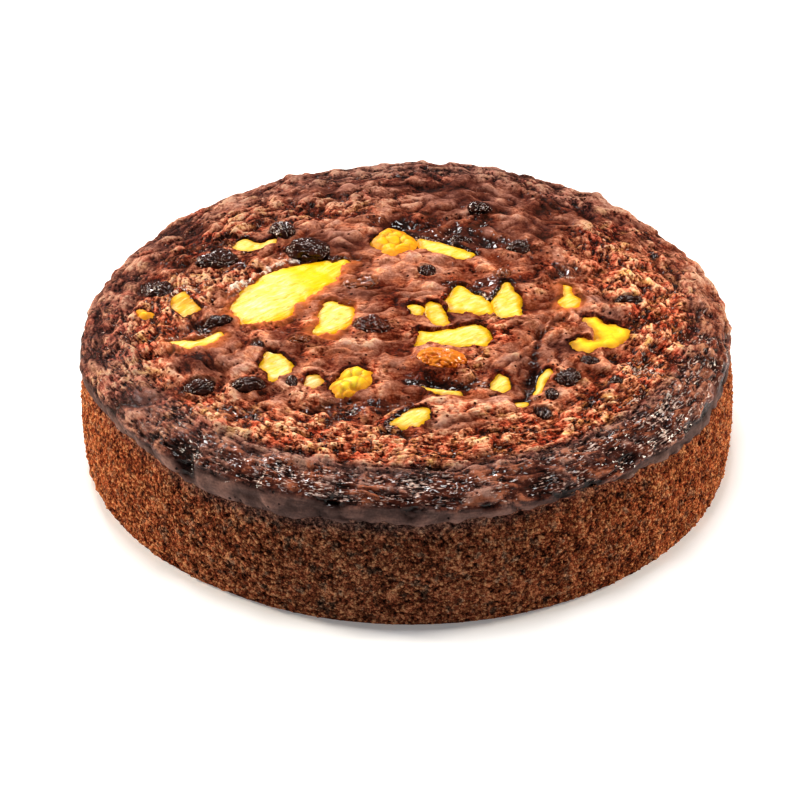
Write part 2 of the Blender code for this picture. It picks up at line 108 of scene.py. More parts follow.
# Relief of the top: (x, y, half length, half width, turn in degrees, rise)
SWELLS = (
    (-24, 48, 14, 9, 0, 2.6), (-4, 8, 20, 20, 0, 1.6), (14, -71, 20, 8, -4, 1.8), (41, -17, 10, 7, 10, 2.0),
    (-77, -41, 12, 9, 0, 2.0), (75, -5, 11, 4.5, 0, 1.8), (57, -22, 7, 8, 20, 2.0), (38, -38, 9, 6, 15, 2.0),
    (-59, -38, 8, 7, 0, 2.4), (72.5, 90.5, 4, 3, 0, 2.2), (-56, -80, 22, 7, -20, 1.2),
    (8, 30, 16, 5, -12, 1.4), (64, 52, 20, 8, -30, 1.2), (-20, 84, 26, 8, 5, 1.2), (78, -58, 14, 8, 30, 1.0),
)
HOLLOWS = (
    (19, 52, 19, 7, -24, 3.0), (11, -54, 12, 4, -8, 3.2), (42, -52, 4, 11, -12, 3.4),
    (-7, -67, 7, 3.5, 40, 2.8), (-28, -68, 10, 3, 12, 2.6), (-62, -69, 11, 3.5, -22, 2.0),
    (-79, -16, 10, 5, 12, 2.4), (-6, 61, 9, 3, -12, 2.6), (94, 38, 3, 9, 20, 1.6), (25, 9, 6, 4, -40, 1.8),
    (35, 26, 4, 7, 10, 2.2), (-56, 24, 12, 4, 35, 1.8), (-88, -48, 4, 12, 20, 1.6),
    (54, 70, 12, 5, -35, 1.4),
)
# A crack is a chain of points with its half width and depth
CRACKS = (
    (((37, -36), (42, -30), (47, -23), (50, -13), (58, -10)), 1.6, 2.4),
    (((-34, -24), (-24, -27), (-8, -27), (1, -25)), 1.4, 1.4),
    (((-48, -34), (-58, -28), (-66, -36)), 1.6, 1.6),
    (((20, -62), (4, -62), (-8, -72), (-14, -78)), 1.6, 1.8),
    (((-86, 30), (-72, 44), (-60, 62), (-44, 70)), 1.8, 1.4),
)
WAVE_LENGTH = 19.0
WAVE_RISE = 1.5
WAVE_SLICE = 40.0
PEBBLE_LENGTH = 8.0
PEBBLE_RISE = 1.1
PEBBLE_SLICE = 9.0
PEBBLE_SHARE_IN_MIDDLE = 0.35
PEBBLE_FROM_RADIUS = 50.0
PEBBLES_GROW_OVER = 40.0
RELIEF_FADES_FROM_RADIUS = 100.0
RELIEF_FADES_OVER = 16.0
RELIEF_LOST_ON_SHOULDER = 0.75
RIM_RISES_FROM_RADIUS = 84.0
RIM_RISES_GROW_OVER = 24.0
# A rough ridge along the big slice of fruit, and knobs near the rim
RIDGE = ((-65, 9), (-60, 18), (-52, 26), (-44, 31))
RIDGE_HALF_WIDTH = 2.2
RIDGE_RISE = 1.3
KNOBS = ((74, 91, 5, 3.5, -50, 2.4), (-49, 105, 3.5, 2.5, 20, 1.6))
# Holes in the rim: direction in degrees, height, half turn in degrees, half height and depth
RIM_HOLES = ((257.4, 48.5, 1.1, 1.3, 3.0), (230.0, 47.0, 1.5, 4.5, 3.2), (226.5, 50.0, 1.3, 2.0, 1.8),
             (283.0, 47.5, 1.6, 1.2, 1.6), (309.0, 49.0, 1.5, 2.0, 2.0), (331.0, 46.5, 1.4, 2.5, 1.6))

# Where the crust is crumbly, elsewhere it has a soft skin: a chain of points, half width and strength
CRUMBLY = (
    (((-76, -66), (-40, -86), (5, -93), (50, -84), (74, -66)), 11.0, 1.0),
    (((84, -52), (92, -15), (84, 20), (72, 50)), 15.0, 0.95),
    (((-98, -42), (-96, -20), (-88, 2), (-72, 24), (-60, 14)), 14.0, 1.0),
    (((-80, 44), (-54, 70), (-22, 76)), 13.0, 0.75),
    (((-30, 100), (20, 104), (64, 82)), 9.0, 0.4),
    (((-40, -70), (-16, -78), (34, -74)), 7.0, 0.5),
    (((22, -44), (34, -28), (30, -12)), 5.0, 0.45),
)
# Where the crust is dark and sticky besides the hollows and cracks
STICKY = (
    (-66, 27, 6, 4, 40), (-38, 31.5, 11, 1.6, 0), (19, 50, 23, 11, -14), (24, 4, 8, 5, -10),
    (60, 25, 7, 7, 0), (25, -55, 3, 6, 0), (-76, -14, 9, 4, 12), (10, -54, 13, 4, -6), (-8, -68, 8, 4, 30),
    (-30, -68, 12, 3, 10), (-66, -69, 13, 4, -22), (44, -52, 5, 9, -12), (-6, 62, 11, 3.5, -12),
    (38, 14, 12, 4, 0),
)
# Crevices, dark from wet syrup and from painted shade: chains of points and half widths
CREVICES = (
    (((56, -12), (53, -16), (47, -27), (45, -37), (44, -48), (41, -64)), 1.6),
    (((-14, 58), (-2, 55), (6, 47), (18, 43), (26, 35)), 2.6),
    (((15, 13), (23, 8), (30, -1), (35, 10)), 2.4),
    (((3, -65), (-2, -73), (-8, -82)), 1.7),
    (((-44, 31), (-32, 31), (-20, 30)), 1.6),
    (((-29, -77), (-20, -72), (-13, -67)), 1.7),
    (((0, -52), (10, -54), (20, -55)), 2.2),
)
# Where the skin is duskier than elsewhere
DUSKY = (
    (-72, -42, 15, 8, 10), (-28, 44, 14, 13, 0), (50, 58, 17, 12, -20), (32, 52, 16, 11, -20),
    (75, -9, 8, 5, 0), (38, -43, 5, 5, 0), (56, -31, 8, 6, 0), (22, -13, 7, 3, 0), (14, -80, 9, 4, 0),
    (24, 84, 14, 9, 0), (-18, 3, 8, 4, -10), (-94, -58, 7, 9, -40), (70, 2, 7, 4, 20),
)
# Where glints of wet crumbs are painted into the crust's colour
PAINTED_GLINT_ZONES = (
    (-60, 18, 9, 2.6, 47), (-49, 28.5, 7, 2.4, 30), (16, 50, 19, 11, -16), (24, 5, 8, 6, 0),
    (60, 22, 7, 10, 0), (10, -56, 9, 4, -6), (84, -66, 9, 9, 40), (-78, -20, 8, 4, 10), (-84, 8, 8, 8, 0),
    (84, -44, 8, 8, 40),
)
# Where the crust is lighter or darker than elsewhere, with the change of tone last
SHADES = (
    (0, -86, 62, 9, 0, 0.08), (-62, -70, 22, 12, -35, 0.08), (-92, -4, 12, 34, 0, 0.06),
    (-88, -27, 6, 5, 0, -0.1), (-92, -50, 6, 4, 0, 0.1), (-75, -41, 9, 9, 0, -0.42),
    (-94, -14, 9, 7, 0, -0.28), (-84, -55, 7, 4, 0, -0.3), (-104, -30, 5, 10, 0, 0.06),
    (-92, -68, 6, 5, 0, 0.1), (92, -16, 6, 6, 0, -0.18), (-92, -48, 6, 4, 0, 0.1), (-65, -60, 7, 4, 0, 0.1),
    (85, -62, 14, 16, 30, -0.08), (98, -24, 9, 12, 0, -0.14), (60, -86, 10, 6, 20, 0.06),
    (67, -63, 8, 5, 0, -0.18), (-108, -78, 14, 8, -38, 0.06), (52, -87, 9, 5, 0, 0.06),
    (83, -37, 7, 6, 0, 0.05), (-88, 24, 12, 8, 20, -0.14), (-114, -26, 4, 24, 0, -0.1),
    (-70, -8, 8, 6, 0, -0.07), (72, 62, 30, 16, -45, -0.12), (-2, -4, 20, 18, 0, -0.09),
    (-114, -8, 8, 46, 0, -0.1), (-80, 48, 20, 12, 30, -0.15), (38, 50, 22, 14, -20, -0.12),
    (0, 100, 60, 12, 0, -0.02), (-34, -52, 16, 9, -10, 0.05),
)
# What changes round the rim: direction and half width in degrees, and strength
GLOSSY_RIM = ((-106, 31, 1.15), (-48, 32, 1.0), (-8, 18, 0.4))
# GREY_RIM places a painted grey sheen round the rim
GREY_RIM = ((190, 42, 0.5), (85, 50, 0.4), (0, 35, 0.15), (-95, 42, 0.62), (-45, 25, 0.4))
TALL_LIP = ((-108, 26, 3.5), (180, 30, 1.5))
# Where the outer top is darker, growing outward from the middle
DARKER_OUTER_TOP = ((85, 55, 1.1), (160, 30, 0.4), (215, 25, 0.3))
# DARK_UNDER_LIP: how strong the painted shadow and browner crumb under the lip are round the cake
DARK_UNDER_LIP = ((-98, 40, 0.95), (90, 60, 0.8), (180, 40, 0.2))
# Painted shade on the crumb of the front side
SHADED_FRONT_CRUMB = ((-95, 42, 0.5),)

# The fine relief and the tone of the crust
RIM_RADIUS = 99.0
GLOSS_RADIUS = 103.0
RIM_GROWS_OVER = 6.0
DARKER_FROM_RADIUS = 35.0
DARKER_GROWS_OVER = 60.0
LIP_BAND = 2.5
LIP_BAND_FADES_OVER = 3.5
WARP = 1.4
ROUGH_RISE = 0.7
CREASE_RISE = 3.0
RIDGED_RISE = 2.2
FOLD_RISE = 0.9
PIT_DEPTH = 1.2
FURROW_DEPTH = 1.3
CREVICE_DEPTH = 0.9
FLOW_RADIUS = 85.0
FLOW_FROM_RADIUS = 50.0
TONE_MIDDLE = 0.47
RIM_DARK = 0.07
DARKER_CONTRAST = 0.45
BRIGHTEST_PAINTED_GLINTS = 2.2
# Seeds that pick the noise of each of the three ways in which places are pushed about
PUSHES = (3.0, 17.0, 31.0)

# The fine relief of the crumb
GRAIN_LENGTH = 1.6
GRAIN_RISE = 1.3
LUMP_RISE = 0.35
CRUMB_PIT_DEPTH = 0.9
CRUMB_PIT_SIZE = (2.8, 2.8, 1.9)
CRUMB_REACHES_UP = 1.6
UNDER_LIP_HEIGHT = 3.4
HIDDEN_CRUMB_TONE = 0.35

# How finely the pieces are divided, and where they meet and end
START_ANGLE = math.radians(225.0)
GRID = 300
RING_POINTS = 4 * GRID
MIDDLE_RADIUS = 64.0
TOP_RADIUS = 106.0
TOP_ROWS = 75
RIM_ROWS = 48
CRUMB_ROWS = 70
CRUST_UNDERSIDE = 44.0
CRUMB_TOP = 39.5

# How the fruit sits in the crust
WELD_DISTANCE = 0.00001
FAR_FROM_FRUIT = 6.0
OUTLINE_STEP = 0.6
FRUIT_SPACING = 0.55
FRUIT_DEPTH = 4.0
FRUIT_UNDER_CRUST = 2.2
FRUIT_GROWTH = -0.3
FRUIT_BELOW_CRUST = 0.7
FRUIT_DIP = 3.2
FRUIT_DIP_OVER = 0.8
RAISIN_CUTS = 5
RAISIN_FOLD = 0.95
RAISIN_SINKS = 0.4
RAISIN_LAP = 0.6
RAISIN_WRINKLE = 0.42
# Raisins that stand a little off their solids: shifts and growths in x, y and z
UNCHANGED = ((0.0, 0.0, 0.0), (1.0, 1.0, 1.0))
RAISIN_CHANGES = {"raisin_01": ((0.4, -2.0, 0.9), (0.98, 1.35, 1.3)),
                  "raisin_02": ((0.2, -1.2, 0.0), (1.12, 1.12, 1.14)),
                  "raisin_03": ((0.6, -2.0, 0.4), (1.14, 1.25, 1.15)),
                  "raisin_04": ((0.8, -2.0, 0.4), (1.1, 1.3, 1.15)),
                  "golden_raisin_1": ((0.0, -1.0, 0.2), (1.14, 1.14, 1.14)),
                  "raisin_17": ((0.0, 0.3, 0.9), (1.1, 1.1, 1.1))}
# Fruit that shows more of itself than its solid does, by how much
GROWN = {"pineapple_12": 0.9, "pineapple_13": 0.9, "pineapple_11": 0.6, "pineapple_09": 0.8,
         "pineapple_10": 0.4, "pineapple_15": 0.4}
BACK_STEP = 0.8
LOBE_LENGTH = 4.4
LOBE_RISE = 2.1
FIBRE_TURN = 37.0
BIG_SLICE = "pineapple_01"
PALE_UP_TO = -46.0
PALE_FADES_OVER = 16.0
FRINGED = ("pineapple_01", "pineapple_02", "pineapple_05", "pineapple_15")
VEILED = ("pineapple_07",)
# How golden a piece is, where it isn't as the others of its kind, and how lobed
PINEAPPLE_GOLD = 0.18
WALNUT_GOLD = 0.4
GOLD_SHARES = {"pineapple_01": 0.05, "pineapple_02": 0.05, "pineapple_06": 0.05, "pineapple_03": 0.9,
               "pineapple_04": 0.5, "pineapple_15": 0.5, "pineapple_09": 0.3, "pineapple_11": 0.3,
               "walnut_1": 1.0, "walnut_3": 0.0}
LOBE_SHARES = {"walnut_3": 0.3}
RAISIN_LOOKS = {"golden_raisin_1": "amber", "raisin_06": "umber", "raisin_17": "brown", "raisin_19": "brown",
                "raisin_10": "brown"}

# Colours as they look on screen, 0 to 255. In a ramp each has its place from 0 to 1 before it
CRUST_RAMP = ((0.0, 32, 4, 0), (0.25, 99, 27, 7), (0.5, 168, 90, 58), (0.75, 232, 148, 106),
              (1.0, 255, 214, 166))
RUST_RAMP = ((0.0, 34, 4, 0), (0.3, 121, 30, 8), (0.6, 206, 84, 52), (1.0, 250, 150, 112))
TAN_RAMP = ((0.0, 32, 8, 0), (0.3, 107, 52, 15), (0.6, 190, 120, 66), (1.0, 250, 196, 118))
SKIN_RAMP = ((0.0, 34, 6, 2), (0.25, 93, 32, 14), (0.5, 138, 81, 61), (0.75, 180, 120, 98),
             (1.0, 222, 170, 148))
DARKER_RAMP = ((0.0, 16, 5, 3), (0.5, 70, 31, 25), (1.0, 156, 102, 88))
# Painted grey sheen, also used for the painted shadow under the lip
SHEEN_AND_SHADE_RAMP = ((0.0, 24, 12, 11), (0.5, 88, 71, 67), (1.0, 142, 112, 104))
STICKY_RAMP = ((0.0, 14, 2, 0), (0.5, 74, 26, 11), (1.0, 164, 88, 54))
CRUMB_RAMP = ((0.0, 28, 5, 0), (0.3, 95, 36, 12), (0.6, 154, 83, 44), (1.0, 226, 154, 98))
RED_CRUMB_RAMP = ((0.0, 32, 4, 0), (0.5, 142, 46, 18), (1.0, 210, 92, 44))
# Greyer crumb, for random patches and for painted shade on the front
GREYED_AND_SHADED_CRUMB_RAMP = ((0.0, 16, 6, 3), (0.5, 82, 58, 45), (1.0, 172, 134, 108))
# Colours of the painted glints: dim rose, brightening to cream, or to grey where the grey sheen is painted
GLINT_CREAM = (255, 234, 212)
GLINT_ROSE = (146, 98, 86)
GLINT_GREY = (236, 214, 204)
FRINGE_ORANGE = (220, 116, 60)
LEMON = (242, 198, 14)
OLIVE = (176, 146, 44)
# Pale colours for the middles of the pieces: paler flesh with a painted highlight
PALE_OLIVE = (196, 176, 92)
GOLDEN = (230, 168, 14)
PALE_FLESH_AND_HIGHLIGHT = (244, 214, 112)
CREAM = (248, 232, 170)
FRUIT_EDGE = (220, 134, 18)
WALNUT_LIGHT = (240, 218, 44)
WALNUT_DEEP = (234, 178, 22)
# Colour of the walnut's creases: painted shade
WALNUT_CREASE = (184, 100, 14)
FLOOR_LIGHT = (250, 250, 250)
FLOOR_DARK = (243, 243, 244)
# Each kind of raisin: the material's name, its skin, the dark colour painted into its folds as shade, and
# how it shines
RAISIN_KINDS = {"raisin": ("raisin_skin", (66, 34, 27), (7, 2, 1), 0.38),
                "umber": ("raisin_in_light", (104, 48, 34), (6, 1, 0), 0.34),
                "brown": ("raisin_under_skin", (160, 88, 54), (62, 22, 12), 0.3),
                "amber": ("amber_raisin_skin", (246, 150, 50), (204, 82, 12), 0.38)}
ROSY = (1.0, 0.84, 0.78, 1.0)
# Thresholds and limit of the painted glints
GLINT_START = 0.77
MOST_GLINTS = 0.94


def limited(value, low=0.0, high=1.0):
    return np.clip(value, low, high)


def smooth_step(value, start=0.0, over=1.0):
    """0 up to start, 1 from start + over on, and a soft passage between them."""
    t = limited((value - start) / over)
    return t * t * (3.0 - 2.0 * t)


def hump(off, half_width):
    """1 where off is 0, about a third at half_width, and nothing far off."""
    return np.exp(-((off / half_width) ** 2))


def turn_from(direction, centre):
    """Degrees from one direction to another, from -180 to 180."""
    return (direction - centre + 180.0) % 360.0 - 180.0


def direction_of(x, y):
    return np.degrees(np.arctan2(y, x))


def around(direction, bumps):
    """Sum of humps on the circle, for directions in degrees."""
    return sum(rise * hump(turn_from(direction, centre), half) for centre, half, rise in bumps)


def bell(x, y, oval):
    """1 in the middle of an oval and about 0.1 at one and a half times its half sizes."""
    centre_x, centre_y, half_long, half_wide, turn = oval[:5]
    c, s = math.cos(math.radians(turn)), math.sin(math.radians(turn))
    along = ((x - centre_x) * c + (y - centre_y) * s) / half_long
    across = ((y - centre_y) * c - (x - centre_x) * s) / half_wide
    return np.exp(-(along * along + across * across))


def strongest(x, y, ovals):
    return np.max([bell(x, y, oval) for oval in ovals], axis=0)


def rises(x, y, ovals):
    """Sum of the bells of ovals that give their rise last."""
    return sum(oval[5] * bell(x, y, oval) for oval in ovals)


def distance_to_stretch(x, y, start, end):
    ux, uy = end[0] - start[0], end[1] - start[1]
    across, up = x - start[0], y - start[1]
    t = limited((across * ux + up * uy) / (ux * ux + uy * uy + 1e-12))
    return np.hypot(across - t * ux, up - t * uy)


def distance_to_chain(x, y, chain):
    """Distance from points to a chain of straight stretches."""
    return np.min([distance_to_stretch(x, y, a, b) for a, b in zip(chain, chain[1:])], axis=0)


def noise_at(points, length, pattern=0.0, kind=noise.noise):
    """Blender's noise at each point, with features about length apart. pattern picks another one."""
    scaled = points / length + np.array((pattern, pattern * 0.37, -pattern * 0.61))
    return np.array([kind(p) for p in scaled.tolist()])


def pushes(points, length, patterns=PUSHES):
    """Noise in three directions, by which places are pushed about."""
    return np.column_stack([noise_at(points, length, pattern) for pattern in patterns])


def level(x, y, height=0.0):
    return np.column_stack((x, y, np.full_like(x, height)))


def turned_noise(direction, turns):
    angle = np.radians(direction)
    return noise_at(level(np.cos(angle), np.sin(angle)), 1.0 / turns)


def relief(x, y):
    """Height of the crust's swells, hollows, cracks and pebbles over the plain dome, as in the solid."""
    rise = rises(x, y, SWELLS) - rises(x, y, HOLLOWS)
    for chain, half_width, depth in CRACKS:
        rise -= depth * hump(distance_to_chain(x, y, chain), half_width)
    rise += WAVE_RISE * noise_at(level(x, y, WAVE_SLICE), WAVE_LENGTH)
    outward = smooth_step(np.hypot(x, y), PEBBLE_FROM_RADIUS, PEBBLES_GROW_OVER)
    pebbles = PEBBLE_SHARE_IN_MIDDLE + (1.0 - PEBBLE_SHARE_IN_MIDDLE) * outward
    return rise + PEBBLE_RISE * pebbles * noise_at(level(x, y, PEBBLE_SLICE), PEBBLE_LENGTH)


def dome(r):
    return EDGE_HEIGHT + DOME_RISE * (1.0 - (r / DOME_RADIUS) ** DOME_POWER)


def rise_over_dome(x, y):
    """How far the crust's own relief and its uneven rim stand over the plain dome."""
    r = np.hypot(x, y)
    fade = 1.0 - RELIEF_LOST_ON_SHOULDER * smooth_step(r, RELIEF_FADES_FROM_RADIUS, RELIEF_FADES_OVER)
    share = smooth_step(r, RIM_RISES_FROM_RADIUS, RIM_RISES_GROW_OVER)
    return fade * relief(x, y) + share * around(direction_of(x, y), RIM_RISES)


def top_height(x, y):
    return dome(np.hypot(x, y)) + rise_over_dome(x, y)


def foot_rise(directions):
    """How far the crust's lower edge leaves its level, with its fine raggedness."""
    ragged = 0.45 * turned_noise(directions, 38.0) + 0.35 * turned_noise(directions, 85.0)
    return around(directions, CRUST_FOOT_RISES) + ragged


def wall_radius(height):
    """Radius of the side, which swells from foot to belly and draws in again under the lip."""
    low = BELLY_RADIUS + (FOOT_RADIUS - BELLY_RADIUS) * (1.0 - height / BELLY_HEIGHT) ** 2
    share = (height - BELLY_HEIGHT) / (CRUST_FOOT - BELLY_HEIGHT)
    high = BELLY_RADIUS + (WALL_RADIUS_UNDER_LIP - BELLY_RADIUS) * share ** 2
    return np.where(height < BELLY_HEIGHT, low, high)


def crust_profile():
    """The crust's cut outline, from the middle of the top to under the lip."""
    points = [(r, dome(r)) for r in np.arange(0.0, SHOULDER_RADIUS, PROFILE_STEP)]
    bottom = dome(SHOULDER_RADIUS) - SHOULDER_DROP
    for angle in np.radians(np.linspace(0.0, 90.0, 24)):
        points.append((SHOULDER_RADIUS + (LIP_RADIUS - SHOULDER_RADIUS) * math.sin(angle),
                       bottom + SHOULDER_DROP * math.cos(angle)))
    points += [(LIP_RADIUS, z) for z in np.linspace(bottom - 0.5, CRUST_FOOT + LIP_ROUND, 8)]
    for angle in np.radians(np.linspace(15.0, 90.0, 6)):
        points.append((LIP_RADIUS - LIP_ROUND * (1.0 - math.cos(angle)),
                       CRUST_FOOT + LIP_ROUND * (1.0 - math.sin(angle))))
    points.append((LIP_UNDER_RADIUS, CRUST_FOOT + 0.4))
    return np.array(points)


def mesh_piece(name, points, faces, finish, slot, node, normals=None, **attributes):
    """A smooth-shaded piece from points in millimetres, riding on the cake in place of a node."""
    mesh = bpy.data.meshes.new(name)
    mesh.from_pydata((np.asarray(points) * MM).tolist(), [], faces)
    mesh.shade_smooth()
    if normals is not None:
        mesh.normals_split_custom_set_from_vertices(normals.tolist())
    for word, values in attributes.items():
        mesh.attributes.new(word, "FLOAT", "POINT").data.foreach_set("value", values.astype(np.float32))
    mesh.materials.append(finish)
    piece = bpy.data.objects.new(name, mesh)
    bpy.context.scene.collection.objects.link(piece)
    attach(piece, "root")
    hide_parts(node)


def point_normals(points, faces):
    """Sum of the normals of the quads at each point."""
    quads = np.array(faces)
    corners = points[quads]
    across = np.cross(corners[:, 2] - corners[:, 0], corners[:, 3] - corners[:, 1])
    summed = np.zeros_like(points)
    for k in range(4):
        np.add.at(summed, quads[:, k], across)
    return summed


def rounded(outline, spacing):
    """A closed smooth curve through an outline's corners, with points about spacing apart."""
    points = []
    count = len(outline)
    for i in range(count):
        before, start, end, after = (outline[(i + k) % count] for k in (-1, 0, 1, 2))
        steps = max(2, int(np.hypot(*(end - start)) / spacing))
        for t in np.arange(steps) / steps:
            points.append(0.5 * (2 * start + (end - before) * t
                                 + (2 * before - 5 * start + 4 * end - after) * t ** 2
                                 + (3 * start - before - 3 * end + after) * t ** 3))
    return np.array(points)


def node_outline(name):
    """The outline of a node where a level plane cuts it halfway up, as (x, y) points in order."""
    low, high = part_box(name)
    work = bmesh.new()
    work.from_mesh(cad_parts[name].data)
    bmesh.ops.remove_doubles(work, verts=work.verts, dist=WELD_DISTANCE)
    everything = work.verts[:] + work.edges[:] + work.faces[:]
    cut = bmesh.ops.bisect_plane(work, geom=everything, plane_co=(low + high) / 2, plane_no=(0, 0, 1),
                                 clear_inner=True, clear_outer=True)["geom_cut"]
    first = next(item for item in cut if isinstance(item, bmesh.types.BMVert))
    loop, last, here = [first], None, first
    while True:
        edge = next(e for e in here.link_edges if e is not last)
        here, last = edge.other_vert(here), edge
        if here is first:
            break
        loop.append(here)
    points = np.array([tuple(v.co.xy / MM) for v in loop])
    work.free()
    return points


def moved_outline(name, outline):
    """A raisin's outline where its look stands."""
    shift, grown = RAISIN_CHANGES.get(name, UNCHANGED)
    middle = outline.mean(0)
    return middle + (outline - middle) * grown[:2] + shift[:2]


def signed_distance(x, y, outline):
    """Distance to a closed outline, negative inside."""
    inside = np.zeros(len(x), bool)
    nearest = np.full(len(x), np.inf)
    for start, end in zip(outline, np.roll(outline, -1, axis=0)):
        nearest = np.minimum(nearest, distance_to_stretch(x, y, start, end))
        if start[1] != end[1]:
            crosses = (start[1] > y) != (end[1] > y)
            slope = (end[0] - start[0]) / (end[1] - start[1])
            inside ^= crosses & (x < start[0] + (y - start[1]) * slope)
    return np.where(inside, -nearest, nearest)


def signed_area(outline):
    """Positive where the outline runs anticlockwise."""
    ahead = np.roll(outline, -1, axis=0)
    return 0.5 * np.sum(outline[:, 0] * ahead[:, 1] - ahead[:, 0] * outline[:, 1])


def mean_width(outline):
    """Twice the area of an outline by its length."""
    length = np.hypot(*(np.roll(outline, -1, axis=0) - outline).T).sum()
    return 2.0 * abs(signed_area(outline)) / length


def distance_to_fruit(points, names, ragged):
    """Signed distance to the nearest of some pieces of fruit, with ragged added, less in thin pieces."""
    x, y = points[:, 0], points[:, 1]
    nearest = np.full(len(x), FAR_FROM_FRUIT)
    for name in names:
        outline = OUTLINES[name]
        low, high = outline.min(0) - FAR_FROM_FRUIT, outline.max(0) + FAR_FROM_FRUIT
        near = np.flatnonzero((x > low[0]) & (x < high[0]) & (y > low[1]) & (y < high[1]))
        if len(near):
            share = min(max(0.12 * mean_width(outline), 0.3), 1.0)
            off = signed_distance(x[near], y[near], outline) + share * ragged[near] - GROWN.get(name, 0.0)
            nearest[near] = np.minimum(nearest[near], off)
    return nearest


def crust_base(directions, rows):
    """Points and normals of the crust before its fine relief. rows are lengths along its profile."""
    profile = crust_profile()
    length = np.concatenate(([0.0], np.cumsum(np.hypot(*np.diff(profile, axis=0).T))))
    along = np.gradient(profile, length, axis=0)
    r, z = (np.interp(rows, length, profile[:, k]) for k in (0, 1))
    tangent_r, tangent_z = (np.interp(rows, length, along[:, k]) for k in (0, 1))
    size = np.hypot(tangent_r, tangent_z)
    c, s = np.cos(np.radians(directions)), np.sin(np.radians(directions))
    normals = np.column_stack((-tangent_z * c, -tangent_z * s, tangent_r)) / size[:, None]
    out = smooth_step(r, SHOULDER_RADIUS - 1.0, 2.0) * (
        around(directions, LIP_BULGES) + LIP_WANDER * turned_noise(directions, LIP_WANDER_TURNS)
        + WALL_WANDER * turned_noise(directions, WALL_WANDER_TURNS))
    x, y = (r + out) * c, (r + out) * s
    on_top = smooth_step(z, EDGE_HEIGHT - SHOULDER_DROP, SHOULDER_DROP)
    near_foot = limited(1.0 - np.abs(z - CRUST_FOOT) / CRUST_FOOT_REACH)
    z = z + on_top * rise_over_dome(x, y) + (1.0 - on_top) * near_foot * foot_rise(directions)
    return np.column_stack((x, y, z)), normals


def crust_masks(points):
    """What kind of crust each point has, in shares from crumbly and sticky to darker, painted grey sheen and
    painted glints.
    """
    x, y, z = points.T
    r = np.hypot(x, y)
    direction = direction_of(x, y)
    zones = [strength * hump(distance_to_chain(x, y, chain), width) for chain, width, strength in CRUMBLY]
    band = z - CRUST_FOOT - around(direction, TALL_LIP)
    lip = 1.0 - smooth_step(band, LIP_BAND, LIP_BAND_FADES_OVER)
    rim = smooth_step(r, RIM_RADIUS, RIM_GROWS_OVER)
    dusk = strongest(x, y, DUSKY)
    crumbly = 0.1 + np.max(zones, axis=0) + 0.3 * rim + 0.55 * noise_at(points, 9.0, 21.0)
    crumbly = limited(crumbly, 0.05) * (1.0 - 0.95 * lip) * (1.0 - 0.8 * dusk)
    ragged = 0.5 * noise_at(points, 4.0, 33.0) + 0.3 * noise_at(points, 1.8, 35.0)
    sticky = smooth_step(strongest(x, y, STICKY) + ragged, 0.35, 0.25) * (1.0 - rim)
    facing = around(direction, GLOSSY_RIM)
    shoulder = facing * smooth_step(r, GLOSS_RADIUS, RIM_GROWS_OVER)
    rim_gloss = shoulder * smooth_step(noise_at(points, 7.0, 51.0) + ragged, -0.65, 0.4) * (1.0 - 0.85 * lip)
    # Painted glints in the listed zones and on the shoulder of the rim that faces the camera
    glitter = strongest(x, y, PAINTED_GLINT_ZONES) * (1.0 - rim) + 0.75 * shoulder * (1.0 - lip)
    darker_share = around(direction, DARKER_OUTER_TOP) * smooth_step(r, DARKER_FROM_RADIUS, DARKER_GROWS_OVER) + facing * rim
    darker_share = np.maximum(darker_share, dusk) + 0.3 * noise_at(points, 13.0, 81.0)
    return dict(lip=lip, rim=rim, crumbly=crumbly, sticky=np.maximum(sticky, rim_gloss),
                painted_grey_sheen=limited(rim * around(direction, GREY_RIM) + lip), darker_share=limited(darker_share),
                glitter=limited(glitter))


def flowing(points, along, across, warp):
    """The points in a space drawn out round the cake and one drawn out from side to side, for its middle."""
    x, y, z = points.T
    r = np.maximum(np.hypot(x, y), 1e-6)
    turns = FLOW_RADIUS / along
    ring = np.column_stack((x / r * turns, y / r * turns, (r + EDGE_HEIGHT - z) / across))
    plain = np.column_stack((x / along, y / across, z / along))
    return ring + warp / across, plain + warp / across


def ring_share(points, over):
    """0 in the middle of the top and 1 outside it."""
    return smooth_step((np.hypot(points[:, 0], points[:, 1]) - FLOW_FROM_RADIUS) / over + 0.5)


def drawn_noise(points, along, across, warp, pattern, kind=noise.noise):
    """Noise drawn out round the cake, from about -1 to 1."""
    ring, plain = flowing(points, along, across, warp)
    share = ring_share(points, 20.0)
    inside = noise_at(plain, 1.0, pattern + 0.5, kind)
    return share * noise_at(ring, 1.0, pattern, kind) + (1.0 - share) * inside


def rough(place):
    """Noise with three finer and finer layers."""
    return noise.fractal(place, 0.8, 2.1, 3)


def pit_depth(places, wanted):
    """1 in the middle of the pits, one to a cell of the space, and 0 away from them.

    wanted is the share of the cells that have a pit."""
    depth = np.zeros(len(places))
    for k, (place, share) in enumerate(zip(places.tolist(), wanted.tolist())):
        distances, spots = noise.voronoi(place)
        chance = 0.5 + 0.5 * noise.cell(spots[0] * 7.3)
        if chance < share:
            width = 0.2 + 0.2 * chance / share
            depth[k] = math.exp(-((distances[0] / width) ** 2)) * min(1.0, 8.0 * (share - chance))
    return depth


def drawn_pits(points, along, across, warp, wanted):
    """Pits drawn out round the cake."""
    ring, plain = flowing(points, along, across, warp)
    share = ring_share(points, 8.0)
    return np.maximum(pit_depth(ring, wanted * share), pit_depth(plain, wanted * (1.0 - share)))


